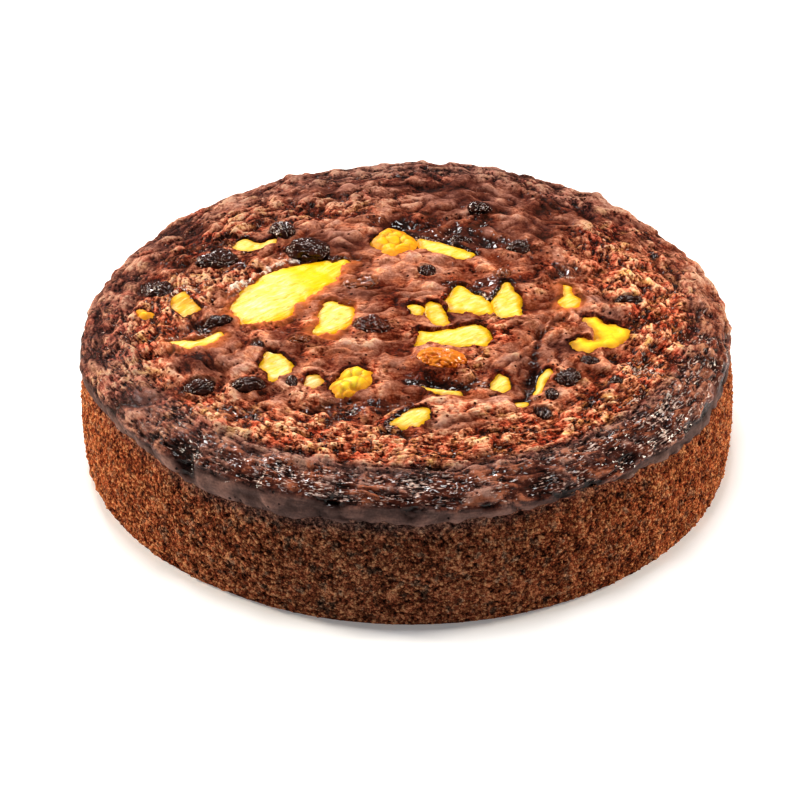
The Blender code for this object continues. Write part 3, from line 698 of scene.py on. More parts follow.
def crust_relief(points, masks):
    """The crust's fine relief along its normal, its tone with painted shade from dark pits to pale peaks,
    and how wet it is.
    """
    x, y, _ = points.T
    crumbly, lip, rim, sticky = (masks[word] for word in ("crumbly", "lip", "rim", "sticky"))
    warp = WARP * pushes(points, 6.0)
    roughness = drawn_noise(points, 5.2, 3.0, 0.5 * warp, 2.0, rough)
    creases = np.abs(drawn_noise(points, 13.0, 6.5, 2.0 * warp, 6.0))
    ridges = np.minimum(np.abs(drawn_noise(points, 6.5, 2.8, 1.2 * warp, 8.0)), 0.4) * crumbly
    folds = noise_at(points + warp, 8.0, 13.0)
    soft = noise_at(points + warp, 3.2, 19.0)
    pits = drawn_pits(points, 3.6, 2.2, 0.6 * warp, 0.08 + 0.6 * crumbly)
    small_pits = drawn_pits(points, 2.0, 1.3, 0.3 * warp, 0.08 + 0.5 * crumbly)
    furrows = smooth_step((0.07 - np.abs(noise_at(points + 2.0 * warp, 11.0, 63.0))) / 0.06)
    furrows *= smooth_step(noise_at(points, 16.0, 67.0), -0.1, 0.15) * crumbly * (1.0 - rim)
    calm = 1.0 - 0.7 * lip
    cut = calm * (1.0 - 0.75 * sticky * (1.0 - rim))
    rise = ROUGH_RISE * roughness * (0.04 + 0.7 * crumbly) * calm * (1.0 - 0.6 * sticky)
    rise += CREASE_RISE * (np.minimum(creases, 0.5) - 0.25) + RIDGED_RISE * (ridges - 0.18 * crumbly) * cut
    rise += FOLD_RISE * folds * (1.0 - 0.5 * lip) + (0.15 + 0.5 * sticky) * soft * calm
    rise -= cut * (PIT_DEPTH * (pits + 0.6 * small_pits) + FURROW_DEPTH * furrows)
    hollow = limited(relief(x, y) / 3.0, -1.0, 0.7) * (1.0 - rim)
    # The tone follows the relief as painted shade: darker in the pits, furrows and creases, lighter on the
    # ridges, folds and rough peaks, and lighter on swells than in hollows, which is partly browning; with
    # random tone and the listed shades besides
    tone = 0.48 + 0.32 * folds + 0.16 * hollow + 0.32 * roughness * (0.1 + 0.9 * crumbly)
    tone += 0.9 * (np.minimum(creases, 0.35) - 0.2) + 0.24 * noise_at(points, 15.0, 44.0)
    tone += 1.2 * (ridges - 0.16 * crumbly) + rises(x, y, SHADES)
    tone -= 0.8 * pits + 0.5 * small_pits + 0.4 * furrows
    wet = limited(0.9 * furrows + 0.7 * pits * smooth_step(crumbly, 0.3, 0.4) + 0.5 * small_pits)
    return rise, tone, wet


def crevice_share(points):
    """1 in the middle of the dark crevices and 0 away from them."""
    x, y, _ = points.T
    wander = 1.3 * noise_at(points, 4.0, 101.0)
    shares = [hump(distance_to_chain(x, y, chain) + wander, width) for chain, width in CREVICES]
    return np.max(shares, axis=0)


def rim_dents(points):
    """Depth of the holes and the cleft in the rim."""
    x, y, z = points.T
    direction = direction_of(x, y)
    return sum(deep * hump(turn_from(direction, centre), half_turn) * hump(z - height, half_height)
               for centre, height, half_turn, half_height, deep in RIM_HOLES)


def ridge_and_knobs(points):
    """Rise of the ridge and the knobs, and the ridge's share."""
    x, y, _ = points.T
    ridge = hump(distance_to_chain(x, y, RIDGE), RIDGE_HALF_WIDTH)
    ridge *= 0.8 + 1.2 * noise_at(points, 2.6, 91.0)
    return RIDGE_RISE * ridge + rises(x, y, KNOBS), ridge


def fruit_distances(base):
    """Ragged distances to flat fruit, raisins and fringed fruit, and 1 just behind the flat fruit."""
    ragged = -0.6 + 2.4 * noise_at(base, 4.2, 71.0) + 1.2 * noise_at(base, 1.7, 75.0)
    ragged_flat = np.maximum(ragged, -1.8)
    flat = distance_to_fruit(base, FLAT_FRUIT, ragged_flat) + FRUIT_GROWTH
    further_back = distance_to_fruit(base + (0.0, BACK_STEP, 0.0), FLAT_FRUIT, ragged_flat) + FRUIT_GROWTH
    behind = smooth_step(0.5 + 0.6 * (further_back - flat) / BACK_STEP)
    round_ones = distance_to_fruit(base, RAISINS, 0.5 * ragged)
    fringed = distance_to_fruit(base, FRINGED, ragged_flat) + 3.0 * noise_at(base, 9.0, 95.0)
    return flat, round_ones, fringed, behind


def crust_surface(directions, rows):
    """The finished crust: points, and the values that its material reads."""
    base, normals = crust_base(directions, rows)
    values = crust_masks(base)
    rise, tone, wet = crust_relief(base, values)
    lip, rim, sticky = (values[word] for word in ("lip", "rim", "sticky"))
    dents, crevice = rim_dents(base), crevice_share(base)
    extra, ridge = ridge_and_knobs(base)
    flat, round_ones, fringed, behind = fruit_distances(base)
    nearest = np.minimum(flat, round_ones)
    rise += extra - dents - CREVICE_DEPTH * crevice
    calm = 1.0 - 0.5 * hump(nearest, 2.5)
    lap = 0.35 * hump(flat - 1.2, 1.0) + RAISIN_LAP * hump(round_ones - 0.6, 1.8)
    moved = base + normals * (rise * calm + lap)[:, None]
    moved[:, 2] -= FRUIT_DIP * limited(-nearest / FRUIT_DIP_OVER)
    # Lighter on the ridge and the knobs, as painted light; darker in the rim's holes and in the crevices, as
    # painted shade, with wet syrup in the crevices
    tone += 0.35 * ridge + 0.08 * extra - 0.4 * dents - 0.4 * crevice
    tone -= RIM_DARK * sticky * rim + 0.4 * lip * (1.0 - lip)
    # Painted shadow along the edges of the flat fruit, deeper and wider just behind it
    tone -= (0.12 + 0.45 * behind) * hump(flat - 0.3, 0.7 + 0.5 * behind)
    tone = TONE_MIDDLE + (tone - TONE_MIDDLE) * (1.0 + DARKER_CONTRAST * values["darker_share"] * (1.0 - lip))
    fringe = hump(np.maximum(fringed, 0.0), 3.2) * (1.0 - 0.5 * sticky) * (1.0 - 0.7 * behind)
    # Painted glints, brightest along the ridge and more in the crevices
    sparkle = np.maximum(values["glitter"], BRIGHTEST_PAINTED_GLINTS * ridge) + 0.35 * crevice
    values.update(tone=limited(tone), fringe=fringe, glitter=limited(sparkle, 0.0, BRIGHTEST_PAINTED_GLINTS),
                  sticky=limited(np.maximum(sticky, wet * (1.0 - lip)) + 0.4 * dents + 0.9 * crevice))
    del values["rim"]
    return moved, values


def ring_from(start):
    """The numbers of a ring of points."""
    return range(start, start + RING_POINTS)


def strip(first, second):
    """Quads between two closed rings of points, given by their numbers."""
    count = len(first)
    return [(first[i], second[i], second[(i + 1) % count], first[(i + 1) % count]) for i in range(count)]


def ring_faces(rows):
    """Quads between the rows of a surface that runs round the cake."""
    starts = range(0, (rows - 1) * RING_POINTS, RING_POINTS)
    return [face for start in starts for face in strip(ring_from(start), ring_from(start + RING_POINTS))]


def turned_over(faces):
    return [tuple(reversed(face)) for face in faces]


def halving_rings(radii, height, outer_from, new_from):
    """Rings inside a ring of points, each with half the points of the last, and a point in the middle.

    outer_from and new_from are the numbers of the outer ring's first point and of the first new one."""
    points, faces = [], []
    outer = RING_POINTS
    for radius in radii:
        inner = outer // 2
        angles = START_ANGLE + 2.0 * math.pi * np.arange(inner) / inner
        points += [(radius * math.cos(a), radius * math.sin(a), height) for a in angles]
        for i in range(inner):
            a, b, c = (outer_from + (2 * i + k) % outer for k in range(3))
            d, e = new_from + i, new_from + (i + 1) % inner
            faces += [(a, b, d), (b, e, d), (b, c, e)]
        outer, outer_from, new_from = inner, new_from, new_from + inner
    points.append((0.0, 0.0, height))
    faces += [(outer_from + i, outer_from + (i + 1) % outer, new_from) for i in range(outer)]
    return points, faces


def disc_grid():
    """A square grid pressed into a disc: polar places, faces, and the numbers of its edge's points."""
    side = np.linspace(-1.0, 1.0, GRID + 1)
    u, v = (a.ravel() for a in np.meshgrid(side, side))
    wide = np.abs(u) > np.abs(v)
    safe_u, safe_v = np.where(u == 0, 1.0, u), np.where(v == 0, 1.0, v)
    angle = np.where(wide, math.pi / 4 * v / safe_u, math.pi / 2 - math.pi / 4 * u / safe_v)
    r = np.where(wide, u, v)
    angle = np.where(r < 0, angle + math.pi, angle)
    row = GRID + 1
    faces = [(j * row + i, j * row + i + 1, (j + 1) * row + i + 1, (j + 1) * row + i)
             for j in range(GRID) for i in range(GRID)]
    edge = (list(range(GRID)) + [j * row + GRID for j in range(GRID)]
            + [GRID * row + i for i in range(GRID, 0, -1)] + [j * row for j in range(GRID, 0, -1)])
    return np.degrees(angle), np.abs(r), faces, edge


def directions_round():
    return np.degrees(START_ANGLE) + 360.0 * np.arange(RING_POINTS) / RING_POINTS


def ring_surface(rows):
    """The crust between lengths along its profile: points, attribute values, faces and their normals."""
    points, values = crust_surface(np.tile(directions_round(), len(rows)), np.repeat(rows, RING_POINTS))
    faces = ring_faces(len(rows))
    return points, values, faces, point_normals(points, faces)


def join_normals(first, first_edge, second):
    """Gives the last points of one surface and the first ones of the next the same normals."""
    joint = first[first_edge] + second[:RING_POINTS]
    first[first_edge] = joint
    second[:RING_POINTS] = joint


def with_hidden(values, count):
    """Attribute values lengthened with zeros for a piece's hidden points."""
    return {word: np.concatenate((v, np.zeros(count))) for word, v in values.items()}


def closed_piece(name, finish, points, values, faces, normals, *rings):
    """A piece of the crust closed below by hidden rings of points."""
    hidden = np.vstack(rings)
    normals = normals / np.maximum(np.linalg.norm(normals, axis=1), 1e-12)[:, None]
    down = np.tile((0.0, 0.0, -1.0), (len(hidden), 1))
    mesh_piece(name, np.vstack((points, hidden)), faces, finish, "crumb_and_crust", "cake",
               normals=np.vstack((normals, down)), **with_hidden(values, len(hidden)))


def lowered(points, pull=1.0):
    """A ring of points brought to the height of the crust's hidden underside and drawn in."""
    moved = points * pull
    moved[:, 2] = CRUST_UNDERSIDE
    return moved


def drawn_in(points, radius):
    """A ring of points brought to one radius."""
    moved = points.copy()
    moved[:, :2] *= radius / np.hypot(moved[:, 0], moved[:, 1])[:, None]
    return moved


def build_crust(finish):
    """The middle of the top, the ring round it, and the rim with the lip, with their joints in common."""
    angles, share, faces, edge = disc_grid()
    points, values = crust_surface(angles, share * MIDDLE_RADIUS)
    normals = point_normals(points, faces)
    rows = np.linspace(MIDDLE_RADIUS, TOP_RADIUS, TOP_ROWS)
    top_points, top_values, top_faces, top_normals = ring_surface(rows)
    end = np.hypot(*np.diff(crust_profile(), axis=0).T).sum()
    rows = np.linspace(TOP_RADIUS, end, RIM_ROWS)
    rim_points, rim_values, rim_faces, rim_normals = ring_surface(rows)
    top_count, rim_count = len(top_points), len(rim_points)
    last = list(ring_from(top_count - RING_POINTS))
    join_normals(normals, edge, top_normals)
    join_normals(top_normals, last, rim_normals)

    own = len(points)
    below, below_faces = halving_rings((60.0, 52.0, 40.0, 22.0), CRUST_UNDERSIDE, own, own + RING_POINTS)
    faces += strip(edge, ring_from(own)) + turned_over(below_faces)
    closed_piece("crust_middle", finish, points, values, faces, normals, lowered(points[edge]), below)

    inner, outer = ring_from(top_count), ring_from(top_count + RING_POINTS)
    top_faces += strip(inner, ring_from(0)) + strip(outer, inner) + strip(last, outer)
    closed_piece("crust_top", finish, top_points, top_values, top_faces, top_normals,
                 lowered(top_points[:RING_POINTS]), lowered(top_points[last], 0.98))

    back = ring_from(rim_count)
    rim_faces += strip(ring_from(rim_count - RING_POINTS), back) + strip(back, ring_from(0))
    closed_piece("crust_rim", finish, rim_points, rim_values, rim_faces, rim_normals,
                 drawn_in(rim_points[-RING_POINTS:], TOP_RADIUS + 2.0) + (0.0, 0.0, 2.0))


def crumb_surface():
    """The open crumb of the side: points, and the values that its material reads."""
    direction = np.tile(directions_round(), CRUMB_ROWS)
    top = CRUST_FOOT + CRUMB_REACHES_UP + np.tile(foot_rise(directions_round()), CRUMB_ROWS)
    height = np.repeat(np.linspace(0.0, 1.0, CRUMB_ROWS), RING_POINTS) * top
    r = wall_radius(np.minimum(height, CRUST_FOOT)) - FOOT_CHAMFER * limited(1.0 - height / FOOT_CHAMFER)
    r += around(direction, WALL_BULGES) + WALL_WANDER * turned_noise(direction, WALL_WANDER_TURNS)
    c, s = np.cos(np.radians(direction)), np.sin(np.radians(direction))
    points = np.column_stack((r * c, r * s, height))
    pushed = points + 0.8 * pushes(points, 3.0)
    grain = np.abs(noise_at(pushed, GRAIN_LENGTH, 5.0)) - 0.2
    lumps = noise_at(pushed, 5.0, 7.0)
    pits = pit_depth(pushed / CRUMB_PIT_SIZE, 0.45 + 0.4 * noise_at(points, 12.0, 11.0))
    rise = GRAIN_RISE * grain + LUMP_RISE * lumps - CRUMB_PIT_DEPTH * pits
    rise *= limited((height + 0.2) / 1.5)
    # Share of painted shadow under the crust's lip, which also stands for browner crumb there
    under_lip = hump(np.maximum(top - CRUMB_REACHES_UP - height + 1.2 * lumps, 0.0), UNDER_LIP_HEIGHT)
    under_lip *= around(direction, DARK_UNDER_LIP)
    # Lighter on the raised grains and lumps and darker in the pits: painted shade
    tone = limited(0.49 + 0.6 * grain + 0.16 * lumps - 0.6 * pits) - 0.08 * under_lip
    moved = points + np.column_stack((rise * c, rise * s, np.zeros_like(rise)))
    return moved, dict(tone=tone, under_lip=under_lip, greyed_and_shaded=around(direction, SHADED_FRONT_CRUMB))


def build_crumb(finish):
    """The open crumb of the side, with its underside and the hidden top of the crumb."""
    points, values = crumb_surface()
    own = len(points)
    hidden_ring = drawn_in(points[-RING_POINTS:], TOP_RADIUS + 4.0)
    hidden_ring[:, 2] = CRUMB_TOP
    above, above_faces = halving_rings((100.0, 84.0, 66.0, 40.0), CRUMB_TOP, own, own + RING_POINTS)
    so_far = own + RING_POINTS + len(above)
    below, below_faces = halving_rings((117.0, 110.0, 92.0, 60.0), 0.0, 0, so_far)
    top_strip = strip(ring_from(own - RING_POINTS), ring_from(own))
    faces = turned_over(ring_faces(CRUMB_ROWS) + top_strip + below_faces)
    everything = np.vstack((points, hidden_ring, above, below))
    values = with_hidden(values, len(everything) - own)
    values["tone"][own:] = HIDDEN_CRUMB_TONE
    mesh_piece("crumb", everything, faces + above_faces, finish, "crumb_and_crust", "cake", **values)


def grown_outline(outline, by):
    """An outline moved outward by a distance."""
    along = np.roll(outline, -1, axis=0) - np.roll(outline, 1, axis=0)
    normals = np.column_stack((along[:, 1], -along[:, 0])) / np.hypot(*along.T)[:, None]
    return outline + math.copysign(by, signed_area(outline)) * normals


def filled_outline(edge, spacing):
    """Even triangles inside a closed outline: x and y of their points, and the faces."""
    low, high = edge.min(0), edge.max(0)
    gx, gy = np.meshgrid(np.arange(low[0], high[0], spacing), np.arange(low[1], high[1], spacing * 0.87))
    gx[1::2] += spacing / 2
    gx, gy = gx.ravel(), gy.ravel()
    keep = signed_distance(gx, gy, edge) < -0.6 * spacing
    places = [Vector(p) for p in edge.tolist()] + [Vector(p) for p in zip(gx[keep], gy[keep])]
    loop = [(i, (i + 1) % len(edge)) for i in range(len(edge))]
    flat, _, faces, *_ = geometry.delaunay_2d_cdt(places, loop, [], 1, 1e-5)
    x, y = np.array([tuple(p) for p in flat]).T
    return x, y, faces


def taken(work):
    """The points and faces of a bmesh, which is then freed."""
    work.verts.index_update()
    points = np.array([tuple(v.co) for v in work.verts])
    faces = [tuple(v.index for v in f.verts) for f in work.faces]
    work.free()
    return points, faces


def patch(name, heights):
    """A closed piece over a flat fruit's outline: a fine upper face, a rim, and a plain lower face.

    heights gives the upper face's heights and its attributes from x, y and the distance inside the edge."""
    edge = grown_outline(OUTLINES[name], FRUIT_UNDER_CRUST)
    x, y, faces = filled_outline(edge, FRUIT_SPACING)
    z, values = heights(name, x, y, -signed_distance(x, y, edge))
    work = bmesh.new()
    verts = [work.verts.new(p) for p in np.column_stack((x, y, z)).tolist()]
    for face in faces:
        work.faces.new([verts[i] for i in face])
    bmesh.ops.recalc_face_normals(work, faces=work.faces)
    if sum(f.normal.z for f in work.faces) < 0:
        bmesh.ops.reverse_faces(work, faces=work.faces)
    rim = [e for e in work.edges if e.is_boundary]
    sides = bmesh.ops.extrude_edge_only(work, edges=rim)["geom"]
    for vert in (item for item in sides if isinstance(item, bmesh.types.BMVert)):
        vert.co.z -= FRUIT_DEPTH
    bottom = [e for e in work.edges if e.is_boundary]
    bmesh.ops.triangle_fill(work, edges=bottom, use_beauty=True)
    bmesh.ops.recalc_face_normals(work, faces=work.faces)
    points, faces = taken(work)
    return points, faces, with_hidden(values, len(points) - len(x))


def edge_share(inward, half_width):
    """1 along a fruit's visible edge and 0 well inside it."""
    return hump(np.maximum(inward - FRUIT_UNDER_CRUST, 0.0), half_width)


def pineapple_heights(name, x, y, inward):
    """Upper face of a pineapple piece: level with the crust, round at its hidden edge, with fibres."""
    pattern = float(name[-2:])
    gold = GOLD_SHARES.get(name, PINEAPPLE_GOLD)
    fibres = noise_at(level(0.25 * (0.8 * x + 0.6 * y), -0.6 * x + 0.8 * y), 1.3, pattern)
    dents = noise_at(level(x, y), 4.5, pattern + 40.0)
    z = top_height(x, y) - FRUIT_BELOW_CRUST + 0.6 * (1.0 - np.exp(-inward / 3.5))
    z += 0.22 * fibres + 0.5 * dents - 1.3 * limited(1.0 - inward / 1.8) ** 2
    inside = (inward - FRUIT_UNDER_CRUST) / (0.2 * mean_width(OUTLINES[name]))
    # Paler towards the middle of each piece: paler flesh with a painted highlight
    pale = limited(inside + 0.6 * dents + 0.5 * fibres) * (1.0 - gold)
    if name == BIG_SLICE:
        pale *= 1.0 - smooth_step(x + 0.4 * y, PALE_UP_TO, PALE_FADES_OVER)
    return z, dict(pale=pale, edge=edge_share(inward, 0.8), gold=np.full_like(x, gold))


def lobes(points, pattern):
    """Rounded lobes: how high each point is on its lobe, and how far from the crease."""
    rise, gap = np.empty(len(points)), np.empty(len(points))
    for k, place in enumerate((points / LOBE_LENGTH + pattern).tolist()):
        distances, _ = noise.voronoi(place)
        rise[k] = math.sqrt(max(0.0, 1.0 - (distances[0] / 0.85) ** 2))
        gap[k] = distances[1] - distances[0]
    return rise, gap


def walnut_heights(name, x, y, inward):
    """Upper face of a walnut piece: proud of the crust, in lobes with creases between."""
    pattern = float(name[-1]) * 11.0
    lobed = LOBE_SHARES.get(name, 1.0)
    points = level(x, y)
    lobe, gap = lobes(points + 1.5 * pushes(points, 4.0, (1.0, 8.0, 15.0)), pattern)
    bulge = np.sqrt(limited(inward / 4.5))
    z = top_height(x, y) - 1.9 + 2.5 * bulge + bulge * (lobed * LOBE_RISE * lobe - 0.6)
    z += 0.15 * noise_at(points, 1.5, pattern + 3.0)
    gold = np.full_like(x, GOLD_SHARES.get(name, WALNUT_GOLD))
    return z, dict(crease=lobed * limited(1.0 - gap / 0.22), edge=edge_share(inward, 1.2), gold=gold)


def build_flat_fruit(finishes):
    for name in FLAT_FRUIT:
        kind = name[:-2].rstrip("_")
        points, faces, values = patch(name, walnut_heights if kind == "walnut" else pineapple_heights)
        finish = finishes["veiled" if name in VEILED else kind]
        mesh_piece(name + "_look", points, faces, finish, kind, name, **values)


def main_axes(name):
    """Middle, axes (longest first) and half sizes of a node, from how its points spread."""
    co = np.array([tuple(v.co / MM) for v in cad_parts[name].data.vertices])
    middle = (co.min(0) + co.max(0)) / 2
    _, axes = np.linalg.eigh(np.cov((co - co.mean(0)).T))
    axes = axes[:, ::-1].T
    if np.linalg.det(axes) < 0:
        axes[2] *= -1
    halves = np.array([np.ptp((co - middle) @ axis) / 2 for axis in axes])
    return middle, axes, halves


def build_raisins(finishes):
    work = bmesh.new()
    bmesh.ops.create_icosphere(work, subdivisions=RAISIN_CUTS, radius=1.0)
    ball, faces = taken(work)
    ball /= np.linalg.norm(ball, axis=1)[:, None]
    for seed, name in enumerate(RAISINS, start=1):
        middle, axes, halves = main_axes(name)
        shift, grown = RAISIN_CHANGES.get(name, UNCHANGED)
        own = ball * halves
        drawn = own / (2.8, 1.0, 1.0)
        wander = 0.9 * pushes(drawn, 2.6, (seed + 3.0, seed + 40.0, seed + 70.0))
        folds = np.abs(noise_at(drawn + wander, 1.8, seed * 5.0))
        fine = np.abs(noise_at(drawn + 0.5 * wander, 0.9, seed * 9.0))
        crease = limited(1.0 - folds / 0.24) ** 1.5
        wrinkle = limited(1.0 - fine / 0.25)
        move = 1.2 * noise_at(own, 5.0, seed * 3.0) + 0.2 - RAISIN_FOLD * crease - RAISIN_WRINKLE * wrinkle
        points = middle + shift + (own + ball * move[:, None]) @ axes * grown - (0.0, 0.0, RAISIN_SINKS)
        slot = "golden_raisin" if name.startswith("golden") else "raisin"
        mesh_piece(name + "_look", points, faces, finishes[RAISIN_LOOKS.get(name, "raisin")], slot, name,
                   crease=np.maximum(crease, 0.6 * wrinkle))


def colour(red, green, blue):
    """Linear colour from a screen colour of 0 to 255."""
    channels = []
    for value in (red, green, blue):
        share = value / 255.0
        channels.append(share / 12.92 if share <= 0.04045 else ((share + 0.055) / 1.055) ** 2.4)
    return (*channels, 1.0)


class Value:
    """What a node gives, which takes part in sums as a number does."""

    def __init__(self, socket):
        self.socket = socket

    def __add__(self, other):
        return reckon("ADD", self, other)

    def __sub__(self, other):
        return reckon("SUBTRACT", self, other)

    def __rsub__(self, other):
        return reckon("SUBTRACT", other, self)

    def __mul__(self, other):
        return reckon("MULTIPLY", self, other)

    __rmul__ = __mul__


def add(tree, kind, inputs, output=0, **settings):
    """What a new node gives, with its settings, and with its inputs set or linked."""
    node = tree.nodes.new("ShaderNode" + kind)
    for word, value in settings.items():
        setattr(node, word, value)
    for word, value in inputs.items():
        if isinstance(value, Value):
            tree.links.new(value.socket, node.inputs[word])
        else:
            node.inputs[word].default_value = value
    return Value(node.outputs[output])


def reckon(operation, *values):
    """A sum of values, at least one of which comes from a node."""
    tree = next(value.socket.id_data for value in values if isinstance(value, Value))
    return add(tree, "Math", dict(enumerate(values)), operation=operation)


def within_one(value):
    """A sum that its node keeps between 0 and 1."""
    value.socket.node.use_clamp = True
    return value


def vector(operation, a, b=(0.0, 0.0, 0.0), output=0):
    return add(a.socket.id_data, "VectorMath", {0: a, 1: b}, output, operation=operation)


def blend(share, a, b):
    """Two tints mixed, each from a node or a screen colour."""
    a, b = (tint if isinstance(tint, Value) else colour(*tint) for tint in (a, b))
    return add(share.socket.id_data, "Mix", {0: share, 6: a, 7: b}, 2, data_type="RGBA")


def between(share, low, high):
    """A value from low to high, as share goes from 0 to 1."""
    return add(share.socket.id_data, "MapRange", {0: share, 3: low, 4: high})


def rising(value, start, end):
    """0 where a value is at start and 1 where it is at end."""
    return add(value.socket.id_data, "MapRange", {0: value, 1: start, 2: end})


def ramp(share, stops):
    tint = add(share.socket.id_data, "ValToRGB", {0: share})
    elements = tint.socket.node.color_ramp.elements
    while len(elements) < len(stops):
        elements.new(0.5)
    for element, (place, *shown) in zip(elements, stops):
        element.position = place
        element.color = colour(*shown)
    return tint


def read(tree, word):
    return add(tree, "Attribute", {}, "Fac", attribute_name=word)


def place_on(tree):
    return add(tree, "TexCoord", {}, "Object")


def noise_texture(tree, place, output=0, **settings):
    return add(tree, "TexNoise", {"Vector": place, **settings}, output)


def speckle(tree, length, detail=3.0, roughness=0.6):
    """Noise from 0 to 1 with features about length millimetres across."""
    return noise_texture(tree, place_on(tree), Scale=1.0 / (length * MM), Detail=detail, Roughness=roughness)


def drawn_out(place, along, across):
    """Places in a space where features are along by across millimetres."""
    return vector("MULTIPLY", place, (1.0 / (along * MM), 1.0 / (across * MM), 1.0 / (along * MM)))


def flow_speckle(tree, along, across, detail):
    """Noise from 0 to 1 with features drawn out round the cake, along by across millimetres."""
    place = place_on(tree)
    flat = vector("MULTIPLY", place, (1.0, 1.0, 0.0))
    r = vector("LENGTH", flat, output="Value")
    turned = vector("MULTIPLY", vector("NORMALIZE", flat), (FLOW_RADIUS / along,) * 3)
    depth = (r - add(tree, "SeparateXYZ", {0: place}, 2)) * (1.0 / (across * MM))
    ring = vector("ADD", turned, add(tree, "CombineXYZ", {2: depth}))
    outer = noise_texture(tree, ring, Scale=1.0, Detail=detail)
    inner = noise_texture(tree, drawn_out(place, along, across), Scale=1.0, Detail=detail)
    return add(tree, "Mix", {0: rising(r, 0.04, 0.065), 2: inner, 3: outer})


def fibre_speckle(tree, along, across):
    """Noise from 0 to 1 drawn out along the fibres of the fruit, along by across millimetres."""
    turned = add(tree, "VectorRotate", {"Vector": place_on(tree), "Angle": -math.radians(FIBRE_TURN)},
                 rotation_type="Z_AXIS")
    return noise_texture(tree, drawn_out(turned, along, across), Scale=1.0, Detail=2.0)


def grains(tree, length, wander):
    """Uneven grains about length millimetres across: distance from their middles, and two random values."""
    scaled = vector("MULTIPLY", place_on(tree), (1.0 / (length * MM),) * 3)
    drift = noise_texture(tree, scaled, 1, Scale=0.9, Detail=2.0)
    moved = vector("ADD", scaled, vector("MULTIPLY", drift, (2.0 * wander,) * 3))
    distance = add(tree, "TexVoronoi", {"Vector": moved, "Scale": 1.0}, "Distance")
    cell_colour = Value(distance.socket.node.outputs["Color"])
    first, second = (add(tree, "SeparateColor", {0: cell_colour}, k) for k in (0, 1))
    return distance, first, second


def new_material(name, **constants):
    made = bpy.data.materials.new(name)
    made.use_nodes = True
    shader = made.node_tree.nodes["Principled BSDF"]
    for word, value in constants.items():
        shader.inputs[word.replace("_", " ")].default_value = value
    return made, made.node_tree, shader


def finish_shader(tree, shader, tint, roughness, height, **others):
    """Links colour, roughness and a height in metres, which becomes bump under any coat too."""
    bump = add(tree, "Bump", {"Height": height, "Distance": 1.0, "Strength": 1.0})
    links = {"Base Color": tint, "Roughness": roughness, "Normal": bump, "Coat Normal": bump}
    for word, value in (links | others).items():
        tree.links.new(value.socket, shader.inputs[word.replace("_", " ")])


def painted_glints(tree, wanted):
    """Small painted glints of wet crumbs drawn out round the cake, more where more are wanted: share and
    brightness.
    """
    sparks = flow_speckle(tree, 1.4, 0.78, 2.2)
    clusters = 0.8 * (speckle(tree, 3.0, 1.0) - 0.5)
    most = reckon("MAXIMUM", read(tree, "glitter") - 1.0, 0.0) + MOST_GLINTS
    start = GLINT_START - 0.3 * reckon("MINIMUM", wanted + clusters, most)
    return rising(sparks, start, start + 0.05), rising(sparks, start + 0.02, start + 0.2)


def crust_tone(tree, crumbly, streaks, fine):
    """The tone of each spot of crust, with painted shade from dark pores to pale peaks, and the height of
    its fine relief.
    """
    clumps = speckle(tree, 1.4, 2.0)
    spot, spot_chance, _ = grains(tree, 1.9, 0.1)
    holes = rising(spot, 0.32, 0.2) * reckon("LESS_THAN", spot_chance, 0.36 * crumbly + 0.05)
    crumbs, chance, _ = grains(tree, 1.7, 0.55)
    gaps = rising(clumps, 0.43, 0.34) * crumbly
    skin_swing = 0.6 * (streaks - 0.5) + 0.45 * (fine - 0.5) + 0.35 * (clumps - 0.5)
    crumb_swing = (1.5 * (streaks - 0.5) + 0.9 * (fine - 0.5) + 0.7 * (clumps - 0.5)
                   - 0.4 * (crumbs - 0.45) + 0.2 * (chance - 0.5) + 0.06)
    swing = between(crumbly, skin_swing, crumb_swing) * between(read(tree, "lip"), 1.0, 0.75)
    # Painted shade in the holes and in the gaps between the clumps
    tone = read(tree, "tone") + swing - 0.7 * holes - 0.3 * gaps
    height = (streaks * between(crumbly, 0.00012, 0.0006) + fine * between(crumbly, 0.00008, 0.00025)
              + crumbs * between(crumbly, 0.0, -0.00035) - 0.0004 * gaps - 0.0004 * holes)
    return tone, height


def crust_tint(tree, tone, crumbly, sticky):
    """The crust's colour: crumbly, skin, fringe of the fruit, darker crust, painted grey sheen and sticky,
    with painted wet glints.
    """
    glitter, lip, painted_grey_sheen = (read(tree, word) for word in ("glitter", "lip", "painted_grey_sheen"))
    wet_patches = 1.2 * (speckle(tree, 6.5, 1.0) - 0.5) * glitter
    tone = tone + 0.28 * wet_patches
    patches = speckle(tree, 5.0, 2.0)
    crust = ramp(tone, CRUST_RAMP)
    rough_tint = blend(rising(patches, 0.5, 0.62), crust, ramp(tone, RUST_RAMP))
    rough_tint = blend(rising(patches, 0.44, 0.34), rough_tint, ramp(tone, TAN_RAMP))
    skin_tint = blend(rising(patches, 0.45, 0.7), ramp(tone, SKIN_RAMP), crust)
    tint = blend(between(crumbly, -0.15, 1.3), skin_tint, rough_tint)
    tint = blend(0.8 * read(tree, "fringe"), tint, FRINGE_ORANGE)
    tint = blend(0.8 * read(tree, "darker_share"), tint, ramp(tone, DARKER_RAMP))
    # Painted grey sheen on the rim and the lip
    tint = blend(0.85 * painted_grey_sheen, tint, ramp(tone, SHEEN_AND_SHADE_RAMP))
    tint = blend(0.85 * sticky, tint, ramp(tone, STICKY_RAMP))
    dark = rising(tone, 0.4, 0.15) * crumbly
    # More painted glints in the dark spots of crumbly crust, in the glint zones and wet patches, and fewer
    # on the lip
    spots, bright = painted_glints(tree, 0.1 * crumbly + 0.4 * dark + 0.64 * glitter + wet_patches - 0.4 * lip)
    return blend(0.88 * spots, tint, blend(bright, GLINT_ROSE, blend(painted_grey_sheen, GLINT_CREAM, GLINT_GREY)))


